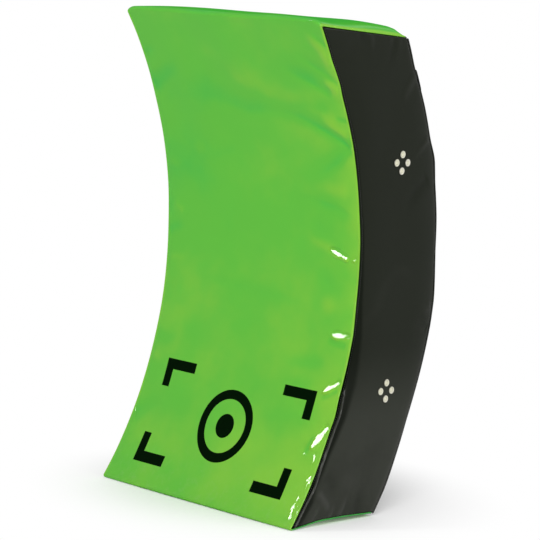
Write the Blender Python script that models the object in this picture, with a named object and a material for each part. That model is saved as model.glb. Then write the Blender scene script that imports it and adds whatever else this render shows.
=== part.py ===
# Tackle shield: a curved foam block in a sewn vinyl cover, with air vents, a zip and two padded handles.
# Metres, +Z up. The hollow strike face looks along -Y, the handles are on the +Y side,
# and the shield stands on its flat lower end.

import math

import bmesh
import bpy
from mathutils import Vector

# Body outline seen from the side: chord height, depth at mid height, and how far each face bows
BODY_WIDTH = 0.435
BODY_HEIGHT = 0.780
MIDDLE_DEPTH = 0.187
FRONT_HOLLOW = 0.122
BACK_BULGE = 0.114
TOP_FRONT_RISE = 0.006
TOP_BACK_DROP = 0.006
FOLD_RUN = 0.017

# How far the stuffed faces swell out of that outline
FRONT_CROWN = 0.004
BACK_CROWN = 0.005
SIDE_CROWN = 0.005
TOP_CROWN = 0.008
CROWN_POWER = 4

# Sheet goods and the clearance between neighbours
VINYL = 0.0012
PATCH_SHEET = 0.0010
TAPE_SHEET = 0.0006
WEBBING_SHEET = 0.0020
GAP = 0.0003
SEAM_STEP = 0.0005

# Foam layers, measured at mid height
FRONT_LAYER = 0.055
REAR_LAYER = 0.045

# Vents: groups of four eyelets set as a diamond in each side
VENT_OFFSET = 0.184
VENT_INSET = 0.1063
VENT_HALF_DIAGONAL = 0.0132
EYELET_BORE_RADIUS = 0.00315
EYELET_WALL = 0.0005
EYELET_FLANGE_RADIUS = 0.00625
EYELET_FLANGE_HEIGHT = 0.0013
WASHER_RADIUS = 0.0058
WASHER_SHEET = 0.0006
VENT_PATCH_HALF = 0.023

# Zip across the upper back
ZIP_DROP = 0.069
ZIP_END_INSET = 0.0295
ZIP_HALF_OPENING = 0.009
ZIP_HALF_SLIT = 0.0007
COIL_WIDTH = 0.0026
COIL_HEIGHT = 0.0020
TAPE_WIDTH = 0.016
STOP_LENGTH = 0.004
END_TAB_INSET = 0.0045
END_TAB_REACH = 0.006
SLIDER_HALF_LENGTH = 0.007
SLIDER_PLATE = 0.0016
SLIDER_WEB_HALF = 0.0004
SLIDER_END_ROOM = 0.0015
PIN_RADIUS = 0.0008
EYE_WALL = 0.0010
EYE_HALF_WIDTH = 0.0019
LUG_SHEET = 0.0010
LUG_HALF_LENGTH = 0.0018
PULL_LENGTH = 0.030
PULL_HALF_WIDTH = 0.0045
PULL_SHEET = 0.0014
PULL_HOLE_RADIUS = 0.0022

# Padded handles across the back
HANDLE_OFFSET = 0.150
GRIP_HALF_LENGTH = 0.075
GRIP_STANDOFF = 0.045
GRIP_WIDTH = 0.046
GRIP_THICKNESS = 0.026
GRIP_END_WIDTH_SHARE = 0.84
GRIP_END_THICKNESS_SHARE = 0.48
GRIP_END_POWER = 6
GRIP_FOAM_SHORTER = 0.004
WEBBING_WIDTH = 0.032
LEG_REACH = 0.033
ANCHOR_TAB_LENGTH = 0.040
ANCHOR_PATCH_MARGIN = 0.010

# Mesh steps
ROW_COUNT = 16
ROW_ROOM = 0.25
HALF_COLUMNS = 5
LAYER_COLUMNS = 3
FOLD_STEPS = 6
EYELET_SEGMENTS = 12
LEG_STEPS = 8
GRIP_STATIONS = 8
OVAL_POINTS = 7
SHEET_STEPS = 4
COIL_SIDES = 8
TIP_STEPS = 6
SHARP_ANGLE = math.radians(40)

# Sizes that follow from those above
HALF_WIDTH = BODY_WIDTH / 2
MIDDLE_HEIGHT = BODY_HEIGHT / 2
SKIN = VINYL + GAP
FRONT_RADIUS = (MIDDLE_HEIGHT ** 2 + FRONT_HOLLOW ** 2) / (2 * FRONT_HOLLOW)
BACK_RADIUS = (MIDDLE_HEIGHT ** 2 + BACK_BULGE ** 2) / (2 * BACK_BULGE)
FRONT_CENTRE = FRONT_HOLLOW - FRONT_RADIUS
BACK_CENTRE = FRONT_HOLLOW + MIDDLE_DEPTH - BACK_RADIUS
TOP_FRONT = BODY_HEIGHT + TOP_FRONT_RISE
TOP_BACK = BODY_HEIGHT - TOP_BACK_DROP
ZIP_HEIGHT = TOP_BACK - ZIP_DROP
ZIP_HALF_LENGTH = HALF_WIDTH - ZIP_END_INSET
ZIP_ANGLE = math.asin((ZIP_HEIGHT - MIDDLE_HEIGHT) / BACK_RADIUS)
COIL_EDGE = ZIP_HALF_SLIT + COIL_WIDTH
TAPE_START = COIL_EDGE + GAP
TAPE_END = TAPE_START + TAPE_WIDTH
TAPE_TOP = SKIN
TAPE_MIDDLE = TAPE_TOP + TAPE_SHEET / 2
COIL_TOP = TAPE_MIDDLE - COIL_HEIGHT / 2
COIL_BOTTOM = TAPE_MIDDLE + COIL_HEIGHT / 2
SLIDER_TOP = COIL_TOP - GAP - SLIDER_PLATE
SLIDER_BOTTOM = COIL_BOTTOM + GAP + SLIDER_PLATE
SLIDER_FLANGE = TAPE_START + SLIDER_PLATE
SLIDER_REST = ZIP_HALF_LENGTH - END_TAB_INSET - SLIDER_HALF_LENGTH - SLIDER_END_ROOM
EYE_RADIUS = PIN_RADIUS + GAP + EYE_WALL
PULL_LIFT = max(-SLIDER_TOP, SKIN) + GAP
PIN_HEIGHT = PULL_LIFT + EYE_RADIUS
ZIP_BAND_LOW = ZIP_HEIGHT - TAPE_END


# Outline of the body in the YZ plane

def front_y(z):
    return FRONT_CENTRE + math.sqrt(FRONT_RADIUS ** 2 - (z - MIDDLE_HEIGHT) ** 2)


def back_y(z):
    return BACK_CENTRE + math.sqrt(BACK_RADIUS ** 2 - (z - MIDDLE_HEIGHT) ** 2)


def front_cos(z):
    return (front_y(z) - FRONT_CENTRE) / FRONT_RADIUS


def back_cos(z):
    return (back_y(z) - BACK_CENTRE) / BACK_RADIUS


def top_height(depth_share):
    return TOP_FRONT + depth_share * (TOP_BACK - TOP_FRONT)


# A point of the outline's grid, held back from all four faces by skin
def outline_point(depth_share, height_share, skin):
    z = skin + height_share * (top_height(depth_share) - 2 * skin)
    near = front_y(z) + skin / front_cos(z)
    far = back_y(z) - skin / back_cos(z)
    return Vector((0, near + depth_share * (far - near), z))


# The rounded fold where the strike face turns into an end, from the face round to the end
def fold_arc(height_share, skin, steps):
    corner = outline_point(0, height_share, skin)
    inward = 1 - 2 * height_share
    face_z = corner.z + inward * FOLD_RUN * front_cos(corner.z)
    on_face = Vector((0, front_y(face_z) + skin / front_cos(face_z), face_z)) - corner
    on_end = (outline_point(1, height_share, skin) - corner).normalized() * on_face.length
    half_angle = on_face.angle(on_end) / 2
    middle = (on_face + on_end).normalized() * on_face.length / math.cos(half_angle)
    sweep = math.pi - 2 * half_angle
    points = []
    for step in range(steps + 1):
        turn = sweep * step / steps
        ray = (on_face - middle) * math.sin(sweep - turn) + (on_end - middle) * math.sin(turn)
        points.append(corner + middle + ray / math.sin(sweep))
    return points


# Swelling of the stuffed block, zero along every seam
def pillow(share):
    inside = min(max(share, 0.0), 1.0)
    return 1 - abs(2 * inside - 1) ** CROWN_POWER


def swell(x, point, depth_share, height_share):
    across = pillow(x / BODY_WIDTH + 0.5)
    deep = pillow(depth_share)
    tall = pillow(height_share)
    below_zip = pillow(point.z / ZIP_BAND_LOW)
    side = SIDE_CROWN * x / HALF_WIDTH * deep * tall
    front = FRONT_CROWN * (1 - depth_share) * across * tall
    back = BACK_CROWN * depth_share * across * below_zip
    up = TOP_CROWN * height_share * across * deep
    return Vector((x + side, point.y + back - front, point.z + up))


# The same for a point that isn't on the grid, such as one on a fold
def swell_point(x, point):
    depth_share = (point.y - front_y(point.z)) / (back_y(point.z) - front_y(point.z))
    depth_share = min(max(depth_share, 0.0), 1.0)
    return swell(x, point, depth_share, min(max(point.z / top_height(depth_share), 0.0), 1.0))


# A point on the back cover: arc is measured up it from angle, height out of it
def back_point(x, angle, arc, height):
    turn = angle + arc / BACK_RADIUS
    reach = BACK_RADIUS + height
    z = MIDDLE_HEIGHT + BACK_RADIUS * math.sin(turn)
    crown = BACK_CROWN * pillow(x / BODY_WIDTH + 0.5) * pillow(z / ZIP_BAND_LOW)
    return Vector((x, BACK_CENTRE + reach * math.cos(turn) + crown, MIDDLE_HEIGHT + reach * math.sin(turn)))


# Rows up the body and columns across it, shared by the foam and the cover
def shared_rows():
    room = ROW_ROOM / ROW_COUNT
    rows = [0.0, 1.0] + EXTRA_ROWS
    for step in range(1, ROW_COUNT):
        row = step / ROW_COUNT
        if min(abs(row - other) for other in rows) > room:
            rows.append(row)
    return sorted(rows)


def columns(half_width):
    steps = range(-HALF_COLUMNS, HALF_COLUMNS + 1)
    return [half_width * math.sin(0.5 * math.pi * step / HALF_COLUMNS) for step in steps]


def spread(start, end, count):
    return [start + (end - start) * step / count for step in range(count + 1)]


FOLD_ROW = FOLD_RUN * front_cos(0) / BODY_HEIGHT
FOLD_COLUMN = FOLD_RUN / (back_y(0) - front_y(0))
FRONT_SHARE = FRONT_LAYER / MIDDLE_DEPTH
REAR_SHARE = 1 - REAR_LAYER / MIDDLE_DEPTH
HALF_GAP_SHARE = GAP / MIDDLE_DEPTH / 2
FOLD_ROWS = [FOLD_ROW, 1 - FOLD_ROW]
OPENING_ROWS = [(ZIP_HEIGHT + side * ZIP_HALF_OPENING * back_cos(ZIP_HEIGHT)) / TOP_BACK for side in (-1, 1)]
TAPE_ROWS = [(ZIP_HEIGHT + side * TAPE_END * back_cos(ZIP_HEIGHT)) / TOP_BACK for side in (-1, 1)]
EXTRA_ROWS = FOLD_ROWS + OPENING_ROWS + TAPE_ROWS
FRONT_COLUMNS = [0] + spread(FOLD_COLUMN, FRONT_SHARE, LAYER_COLUMNS - 1)
CORE_COLUMNS = spread(FRONT_SHARE, REAR_SHARE, LAYER_COLUMNS)
REAR_COLUMNS = spread(REAR_SHARE, 1, LAYER_COLUMNS)


# A point of the block's grid, with the strike face's two corners on their folds
def block_point(x, depth_share, height_share, skin):
    if depth_share == 0 and height_share in (0, 1):
        return swell(x, fold_arc(height_share, skin, 2)[1], depth_share, height_share)
    return swell(x, outline_point(depth_share, height_share, skin), depth_share, height_share)


# Materials: colour, roughness and metallic value of each finish
FINISHES = {
    "green_vinyl": ((0.122, 0.491, 0.062, 1), 0.35, 0),
    "black_vinyl": ((0.026, 0.027, 0.022, 1), 0.45, 0),
    "cream_foam": ((0.72, 0.68, 0.52, 1), 0.9, 0),
    "ivory_eyelet": ((0.73, 0.72, 0.56, 1), 0.3, 0),
    "black_webbing": ((0.02, 0.02, 0.02, 1), 0.7, 0),
    "black_tape": ((0.018, 0.018, 0.018, 1), 0.8, 0),
    "black_nylon": ((0.03, 0.03, 0.03, 1), 0.4, 0),
    "plated_metal": ((0.55, 0.55, 0.56, 1), 0.25, 1),
}


def finish(name):
    colour, roughness, metallic = FINISHES[name]
    material = bpy.data.materials.new(name)
    material.use_nodes = True
    shader = material.node_tree.nodes["Principled BSDF"]
    shader.inputs["Base Color"].default_value = colour
    shader.inputs["Roughness"].default_value = roughness
    shader.inputs["Metallic"].default_value = metallic
    return material


# Every mesh is made in the body's coordinates, then seated on the empty that carries it
def add_object(name, bm, finish_name, carrier):
    mesh = bpy.data.meshes.new(name)
    bm.to_mesh(mesh)
    bm.free()
    item = bpy.data.objects.new(name, mesh)
    bpy.context.scene.collection.objects.link(item)
    item.parent = carrier
    for vertex in mesh.vertices:
        vertex.co -= Vector(carrier["anchor"])
    mesh.materials.append(finish(finish_name))
    mesh.shade_smooth()
    mesh.set_sharp_from_angle(angle=SHARP_ANGLE)
    return item


def add_carrier(name, anchor, parent=None):
    carrier = bpy.data.objects.new(name, None)
    bpy.context.scene.collection.objects.link(carrier)
    carrier["anchor"] = list(anchor)
    carrier.parent = parent
    if parent:
        carrier.location = anchor - Vector(parent["anchor"])
    return carrier


# Closed surface of a block on a grid of three lists
def grid_block(xs, depths, heights, place):
    bm = bmesh.new()
    made = {}
    ends = (len(xs) - 1, len(depths) - 1, len(heights) - 1)

    def corner(spot):
        if spot not in made:
            i, j, k = spot
            made[spot] = bm.verts.new(place(xs[i], depths[j], heights[k]))
        return made[spot]

    def patch(*spots):
        bm.faces.new([corner(spot) for spot in spots])

    for end in (0, 1):
        for j in range(ends[1]):
            for k in range(ends[2]):
                i = end * ends[0]
                patch((i, j, k), (i, j + 1, k), (i, j + 1, k + 1), (i, j, k + 1))
        for i in range(ends[0]):
            for k in range(ends[2]):
                j = end * ends[1]
                patch((i, j, k), (i + 1, j, k), (i + 1, j, k + 1), (i, j, k + 1))
        for i in range(ends[0]):
            for j in range(ends[1]):
                k = end * ends[2]
                patch((i, j, k), (i + 1, j, k), (i + 1, j + 1, k), (i, j + 1, k))
    bmesh.ops.recalc_face_normals(bm, faces=bm.faces)
    return bm


# Open sheet on a grid of points, turned to face away from the body's middle
def grid_sheet(rows):
    bm = bmesh.new()
    made = [[bm.verts.new(point) for point in row] for row in rows]
    for low, high in zip(made, made[1:]):
        for left in range(len(low) - 1):
            bm.faces.new((low[left], low[left + 1], high[left + 1], high[left]))
    bm.normal_update()
    middle = Vector((0, (front_y(MIDDLE_HEIGHT) + back_y(MIDDLE_HEIGHT)) / 2, MIDDLE_HEIGHT))
    outward = 0
    for face in bm.faces:
        outward += face.normal.dot(face.calc_center_median() - middle) * face.calc_area()
    if outward < 0:
        bmesh.ops.reverse_faces(bm, faces=bm.faces)
    return bm


# Flat outline pushed along one direction into a closed bar
def prism(outline, push):
    bm = bmesh.new()
    base = bm.faces.new([bm.verts.new(point) for point in outline])
    moved = bmesh.ops.extrude_face_region(bm, geom=[base])["geom"]
    bmesh.ops.translate(bm, vec=push, verts=[item for item in moved if isinstance(item, bmesh.types.BMVert)])
    bmesh.ops.recalc_face_normals(bm, faces=bm.faces)
    return bm


# Rings of points joined into a closed skin: round a bore when hollow, else capped
def loft(rings, hollow):
    bm = bmesh.new()
    made = [[bm.verts.new(point) for point in ring] for ring in rings]
    pairs = list(zip(made, made[1:]))
    if hollow:
        pairs.append((made[-1], made[0]))
    for first, second in pairs:
        for spot in range(len(first)):
            after = (spot + 1) % len(first)
            bm.faces.new((first[spot], first[after], second[after], second[spot]))
    if not hollow:
        bm.faces.new(made[0])
        bm.faces.new(made[-1])
    bmesh.ops.recalc_face_normals(bm, faces=bm.faces)
    return bm


def solidify(item, thickness):
    modifier = item.modifiers.new("thickness", "SOLIDIFY")
    modifier.thickness = thickness
    modifier.offset = -1
    modifier.use_even_offset = True


def combine(item, tool, operation):
    tool.hide_render = True
    tool.display_type = "WIRE"
    modifier = item.modifiers.new(tool.name, "BOOLEAN")
    modifier.operation = operation
    modifier.object = tool


def box_mesh(low, high):
    bm = bmesh.new()
    bmesh.ops.create_cube(bm, size=1)
    for vertex in bm.verts:
        for axis in range(3):
            vertex.co[axis] = high[axis] if vertex.co[axis] > 0 else low[axis]
    return bm


# Foam: a soft strike layer, a firm core and a rear layer, each cut to the cover's inside
def add_foam(body):
    half = HALF_WIDTH - SEAM_STEP - SKIN
    xs = columns(half)

    def place(x, depth_share, height_share):
        return block_point(x, depth_share, height_share, SKIN)

    front_columns = FRONT_COLUMNS[:-1] + [FRONT_SHARE - HALF_GAP_SHARE]
    core_columns = [FRONT_SHARE + HALF_GAP_SHARE] + CORE_COLUMNS[1:-1] + [REAR_SHARE - HALF_GAP_SHARE]
    rear_columns = [REAR_SHARE + HALF_GAP_SHARE] + REAR_COLUMNS[1:]
    rows = shared_rows()
    front = add_object("foam_front_layer", grid_block(xs, front_columns, rows, place), "cream_foam", body)
    core = add_object("foam_core", grid_block(xs, core_columns, rows, place), "cream_foam", body)
    rear = add_object("foam_rear_layer", grid_block(xs, rear_columns, rows, place), "cream_foam", body)
    return front, core, rear


# Green cover: one piece from the back edge of the base, up the strike face and over the top
def add_green_cover(body):
    rows = [row for row in shared_rows() if FOLD_ROW < row < 1 - FOLD_ROW]
    end_columns = sorted(set(FRONT_COLUMNS[1:] + CORE_COLUMNS + REAR_COLUMNS))
    lower_end = [outline_point(share, 0, 0) for share in reversed(end_columns[1:])]
    upper_end = [outline_point(share, 1, 0) for share in end_columns[1:]]
    face = [outline_point(0, row, 0) for row in rows]
    path = lower_end + fold_arc(0, 0, FOLD_STEPS)[::-1] + face + fold_arc(1, 0, FOLD_STEPS) + upper_end
    sheet = grid_sheet([[swell_point(x, point) for x in columns(HALF_WIDTH)] for point in path])
    solidify(add_object("green_cover", sheet, "green_vinyl", body), VINYL)
    return path


# Where the middle of a vent lies on the side face
def vent_middle(level):
    z = MIDDLE_HEIGHT + level * VENT_OFFSET
    return Vector((0, front_y(z) + VENT_INSET, z))


def vent_spots(level):
    middle = vent_middle(level)
    reach = VENT_HALF_DIAGONAL
    return [middle + Vector((0, dy * reach, dz * reach)) for dy, dz in ((0, 1), (-1, 0), (1, 0), (0, -1))]


def side_face(point):
    return swell_point(HALF_WIDTH, point).x - SEAM_STEP


# Round tools for the eyelet holes, through a panel on one side
def add_hole_tools(name, side, spots, low, high, body):
    bm = bmesh.new()
    radius = EYELET_BORE_RADIUS + EYELET_WALL + GAP
    length = high - low
    for spot in spots:
        face = side_face(spot)
        made = bmesh.ops.create_cone(
            bm, cap_ends=True, segments=EYELET_SEGMENTS, radius1=radius, radius2=radius, depth=length)
        for vertex in made["verts"]:
            x, y, z = vertex.co
            vertex.co = Vector((side * (face + (low + high) / 2 + z), spot.y + x * side, spot.z + y))
    return add_object(name, bm, "black_vinyl", body)


# Black side panels between the cover's edges, their inner patches and the eyelets through both
def add_sides(body, foam_layers):
    rows = shared_rows()
    depths = sorted(set(FRONT_COLUMNS + CORE_COLUMNS + REAR_COLUMNS))
    eyelet_stack = VINYL + GAP + PATCH_SHEET
    pocket_floor = eyelet_stack + GAP + WASHER_SHEET + GAP
    reach = 2 * eyelet_stack
    for side, side_name in ((-1, "left"), (1, "right")):
        grid = []
        for row in rows:
            points = [block_point(HALF_WIDTH, share, row, SKIN) for share in depths]
            grid.append([Vector((side * (point.x - SEAM_STEP), point.y, point.z)) for point in points])
        panel = add_object("side_panel_" + side_name, grid_sheet(grid), "black_vinyl", body)
        solidify(panel, VINYL)
        spots = vent_spots(1) + vent_spots(-1)
        drill = add_hole_tools("hole_tools_" + side_name, side, spots, -reach, reach, body)
        combine(panel, drill, "DIFFERENCE")
        for level, level_name in ((1, "upper"), (-1, "lower")):
            tag = side_name + "_" + level_name
            add_vent(tag, side, level, eyelet_stack, drill, body)
            cut_vent_pocket(tag, side, level, pocket_floor, body, foam_layers)


def add_vent(tag, side, level, stack, drill, body):
    middle = vent_middle(level)
    half = VENT_PATCH_HALF
    inner = []
    for dz in (-half, 0, half):
        row = []
        for dy in (-half, 0, half):
            spot = middle + Vector((0, dy, dz))
            row.append(Vector((side * (side_face(spot) - SKIN), spot.y, spot.z)))
        inner.append(row)
    patch = add_object("vent_patch_" + tag, grid_sheet(inner), "black_vinyl", body)
    solidify(patch, PATCH_SHEET)
    combine(patch, drill, "DIFFERENCE")
    for number, spot in enumerate(vent_spots(level), start=1):
        ring = turn_eyelet(side, Vector((side_face(spot), spot.y, spot.z)), stack)
        add_object("eyelet_" + tag + "_" + str(number), ring, "ivory_eyelet", body)


# Room behind a vent for its patch and washers, in whichever foam layer it reaches
def cut_vent_pocket(tag, side, level, pocket_floor, body, foam_layers):
    middle = vent_middle(level)
    face = side_face(middle)
    half = VENT_PATCH_HALF + GAP
    low = [face - pocket_floor, middle.y - half, middle.z - half]
    high = [face + SIDE_CROWN, middle.y + half, middle.z + half]
    if side < 0:
        low[0], high[0] = -high[0], -low[0]
    pocket = add_object("vent_pocket_" + tag, box_mesh(low, high), "cream_foam", body)
    for layer in foam_layers:
        combine(layer, pocket, "DIFFERENCE")


# One set eyelet: domed flange outside, barrel through the sheets, washer rolled on inside
def turn_eyelet(side, seat, stack):
    bore = EYELET_BORE_RADIUS
    barrel = bore + EYELET_WALL
    crest = (barrel + EYELET_FLANGE_RADIUS) / 2
    rim = GAP + EYELET_FLANGE_HEIGHT
    washer_face = -stack - GAP
    profile = [
        (bore, washer_face - WASHER_SHEET),
        (bore, GAP + EYELET_FLANGE_HEIGHT / 2),
        (barrel, rim - EYELET_FLANGE_HEIGHT / 8),
        (crest, rim),
        (EYELET_FLANGE_RADIUS, GAP + EYELET_FLANGE_HEIGHT / 2),
        (EYELET_FLANGE_RADIUS, GAP),
        (barrel, GAP),
        (barrel, washer_face),
        (WASHER_RADIUS, washer_face),
        (WASHER_RADIUS, washer_face - WASHER_SHEET),
    ]
    rings = []
    for radius, height in profile:
        ring = []
        for step in range(EYELET_SEGMENTS):
            turn = 2 * math.pi * step / EYELET_SEGMENTS
            offset = Vector((height, radius * math.cos(turn), radius * math.sin(turn)))
            ring.append(Vector((side * (seat.x + offset.x), seat.y + offset.y, seat.z + offset.z)))
        rings.append(ring)
    return loft(rings, True)


# Black back panel in two parts, above and below the zip's opening
def add_back_panels(body):
    rows = shared_rows()
    groups = {
        "back_panel": [row for row in rows if row <= OPENING_ROWS[0]],
        "back_panel_top_strip": [row for row in rows if row >= OPENING_ROWS[1]],
    }
    for name, shares in groups.items():
        grid = []
        for share in shares:
            z = SKIN + share * (TOP_BACK - 2 * SKIN)
            grid.append([swell(x, Vector((0, back_y(z), z)), 1, share) for x in columns(HALF_WIDTH)])
        solidify(add_object(name, grid_sheet(grid), "black_vinyl", body), VINYL)


# Outline of a band of the back, between two arcs and two depths, at x
def band_outline(x, low, high, top, bottom, steps):
    outer = [back_point(x, ZIP_ANGLE, arc, -top) for arc in spread(low, high, steps)]
    inner = [back_point(x, ZIP_ANGLE, arc, -bottom) for arc in spread(high, low, steps)]
    return outer + inner


def add_band(name, low, high, top, bottom, left, right, finish_name, body):
    outline = band_outline(left, low, high, top, bottom, SHEET_STEPS)
    return add_object(name, prism(outline, Vector((right - left, 0, 0))), finish_name, body)


# Zip: tapes under the panels' edges, coils along the slit, stops, end tabs and the foam's channel
def add_zip(body, rear):
    tape_half = HALF_WIDTH - SEAM_STEP - SKIN - GAP
    for side, side_name in ((1, "upper"), (-1, "lower")):
        tape_ends = sorted((side * TAPE_START, side * TAPE_END))
        add_band("zip_tape_" + side_name, *tape_ends, TAPE_TOP, TAPE_TOP + TAPE_SHEET, -tape_half, tape_half,
                 "black_tape", body)
        middle = side * (ZIP_HALF_SLIT + COIL_WIDTH / 2)
        outline = []
        flat = math.cos(math.pi / COIL_SIDES)
        for step in range(COIL_SIDES):
            turn = 2 * math.pi * (step + 0.5) / COIL_SIDES
            arc = middle + COIL_WIDTH / 2 * math.cos(turn) / flat
            height = -TAPE_MIDDLE + COIL_HEIGHT / 2 * math.sin(turn) / flat
            outline.append(back_point(-ZIP_HALF_LENGTH, ZIP_ANGLE, arc, height))
        coil = prism(outline, Vector((2 * ZIP_HALF_LENGTH, 0, 0)))
        add_object("zip_coil_" + side_name, coil, "black_nylon", body)
    for side, side_name in ((-1, "left"), (1, "right")):
        stop_ends = sorted((side * (ZIP_HALF_LENGTH + GAP), side * (ZIP_HALF_LENGTH + GAP + STOP_LENGTH)))
        add_band("zip_stop_" + side_name, -COIL_EDGE, COIL_EDGE, COIL_TOP, COIL_BOTTOM, *stop_ends,
                 "plated_metal", body)
        tab_ends = sorted((side * (ZIP_HALF_LENGTH - END_TAB_INSET), side * (HALF_WIDTH - END_TAB_REACH)))
        add_band("zip_end_tab_" + side_name, -TAPE_END, TAPE_END, -SKIN, -GAP, *tab_ends,
                 "black_vinyl", body)
    wide = HALF_WIDTH + SIDE_CROWN
    reach = TAPE_END + GAP
    seat = TAPE_TOP + TAPE_SHEET + GAP
    outline = band_outline(-wide, -reach, reach, -VINYL, seat, SHEET_STEPS)
    tape_seat = add_object("zip_tape_seat", prism(outline, Vector((2 * wide, 0, 0))), "cream_foam", body)
    combine(rear, tape_seat, "DIFFERENCE")
    lane = SLIDER_FLANGE + GAP
    outline = band_outline(-wide, -lane, lane, -VINYL, SLIDER_BOTTOM + GAP, SHEET_STEPS)
    slider_lane = add_object("zip_slider_lane", prism(outline, Vector((2 * wide, 0, 0))), "cream_foam", body)
    combine(rear, slider_lane, "DIFFERENCE")


# Slider: upper and lower plates joined through the slit, with a bridge that holds the pull
def add_slider(carrier, x):
    upper_half = [
        (SLIDER_WEB_HALF, COIL_TOP - GAP),
        (TAPE_START, COIL_TOP - GAP),
        (TAPE_START, TAPE_TOP - GAP),
        (SLIDER_FLANGE, TAPE_TOP - GAP),
        (SLIDER_FLANGE, SLIDER_TOP),
    ]
    lower_half = [
        (SLIDER_FLANGE, SLIDER_BOTTOM),
        (SLIDER_FLANGE, TAPE_TOP + TAPE_SHEET + GAP),
        (TAPE_START, TAPE_TOP + TAPE_SHEET + GAP),
        (TAPE_START, COIL_BOTTOM + GAP),
        (SLIDER_WEB_HALF, COIL_BOTTOM + GAP),
    ]
    right = lower_half + upper_half
    left = [(-arc, depth) for arc, depth in reversed(right)]
    start = x - SLIDER_HALF_LENGTH
    outline = [back_point(start, ZIP_ANGLE, arc, -depth) for arc, depth in right + left]
    plates = prism(outline, Vector((2 * SLIDER_HALF_LENGTH, 0, 0)))
    slider = add_object("zip_slider", plates, "plated_metal", carrier)
    base = -SLIDER_TOP - SLIDER_PLATE / 2
    top = PIN_HEIGHT + LUG_HALF_LENGTH
    gap_half = EYE_HALF_WIDTH + GAP
    for side, side_name in ((-1, "lower"), (1, "upper")):
        arcs = (side * gap_half, side * (gap_half + LUG_SHEET))
        corners = [(arcs[0], base), (arcs[1], base), (arcs[1], top), (arcs[0], top)]
        outline = [back_point(x - LUG_HALF_LENGTH, ZIP_ANGLE, arc, height) for arc, height in corners]
        block = prism(outline, Vector((2 * LUG_HALF_LENGTH, 0, 0)))
        lug = add_object("slider_lug_tool_" + side_name, block, "plated_metal", carrier)
        combine(slider, lug, "UNION")
    bar = round_bar(x, PIN_RADIUS, gap_half + LUG_SHEET / 2)
    combine(slider, add_object("slider_pin_tool", bar, "plated_metal", carrier), "UNION")


# Round bar along the slider's hinge axis
def round_bar(x, radius, half):
    rings = []
    for end in (-half, half):
        ring = []
        for step in range(EYELET_SEGMENTS):
            turn = 2 * math.pi * step / EYELET_SEGMENTS
            ring.append(zip_point(x + radius * math.cos(turn), end, PIN_HEIGHT + radius * math.sin(turn)))
        rings.append(ring)
    return loft(rings, False)


# A point beside the zip in the flat frame of its middle line
def zip_point(x, arc, height):
    base = back_point(x, ZIP_ANGLE, 0, height)
    return base + Vector((0, -math.sin(ZIP_ANGLE), math.cos(ZIP_ANGLE))) * arc


# Pull: an eye round the slider's pin and a flat tab with a finger hole
def add_pull(carrier, x):
    neck = LUG_HALF_LENGTH + EYE_RADIUS
    low = PULL_LIFT
    thin = EYE_HALF_WIDTH
    wide = PULL_HALF_WIDTH
    tip = x - PULL_LENGTH
    outline = [(x, -thin), (x, thin), (x - neck, thin), (x - neck, wide)]
    for step in range(TIP_STEPS + 1):
        turn = math.pi * step / TIP_STEPS
        outline.append((tip + wide - wide * math.sin(turn), wide * math.cos(turn)))
    outline += [(x - neck, -wide), (x - neck, -thin)]
    normal = zip_point(x, 0, 1) - zip_point(x, 0, 0)
    plate = prism([zip_point(px, arc, low) for px, arc in outline], normal * PULL_SHEET)
    pull = add_object("zip_pull", plate, "plated_metal", carrier)
    eye = add_object("pull_eye_tool", round_bar(x, EYE_RADIUS, thin), "plated_metal", carrier)
    combine(pull, eye, "UNION")
    bore = add_object("pull_bore_tool", round_bar(x, PIN_RADIUS + GAP, 2 * thin), "plated_metal", carrier)
    combine(pull, bore, "DIFFERENCE")
    hole_x = tip + wide
    rings = []
    for height in (low - PULL_SHEET, low + 2 * PULL_SHEET):
        ring = []
        for step in range(EYELET_SEGMENTS):
            turn = 2 * math.pi * step / EYELET_SEGMENTS
            along = hole_x + PULL_HOLE_RADIUS * math.cos(turn)
            ring.append(zip_point(along, PULL_HOLE_RADIUS * math.sin(turn), height))
        rings.append(ring)
    hole = add_object("pull_hole_tool", loft(rings, False), "plated_metal", carrier)
    combine(pull, hole, "DIFFERENCE")


# Handles: angle of each up the back arc, and the frame that its grip is built in
def handle_angle(level):
    return math.asin(level * HANDLE_OFFSET / BACK_RADIUS)


def handle_point(level, x, arc, height):
    angle = handle_angle(level)
    base = back_point(0, angle, 0, height)
    return Vector((x, base.y - arc * math.sin(angle), base.z + arc * math.cos(angle)))


TAB_LOW = SKIN + GAP
TAB_TOP = TAB_LOW + WEBBING_SHEET
ANCHOR_X = GRIP_HALF_LENGTH + LEG_REACH


# Sheet laid on the back cover between two x and two arcs
def lay_sheet(level, left, right, half_arc, low, sheet):
    grid = []
    for arc in spread(-half_arc, half_arc, SHEET_STEPS):
        stations = spread(left, right, SHEET_STEPS)
        grid.append([back_point(x, handle_angle(level), arc, low + sheet) for x in stations])
    return grid_sheet(grid)


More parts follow.
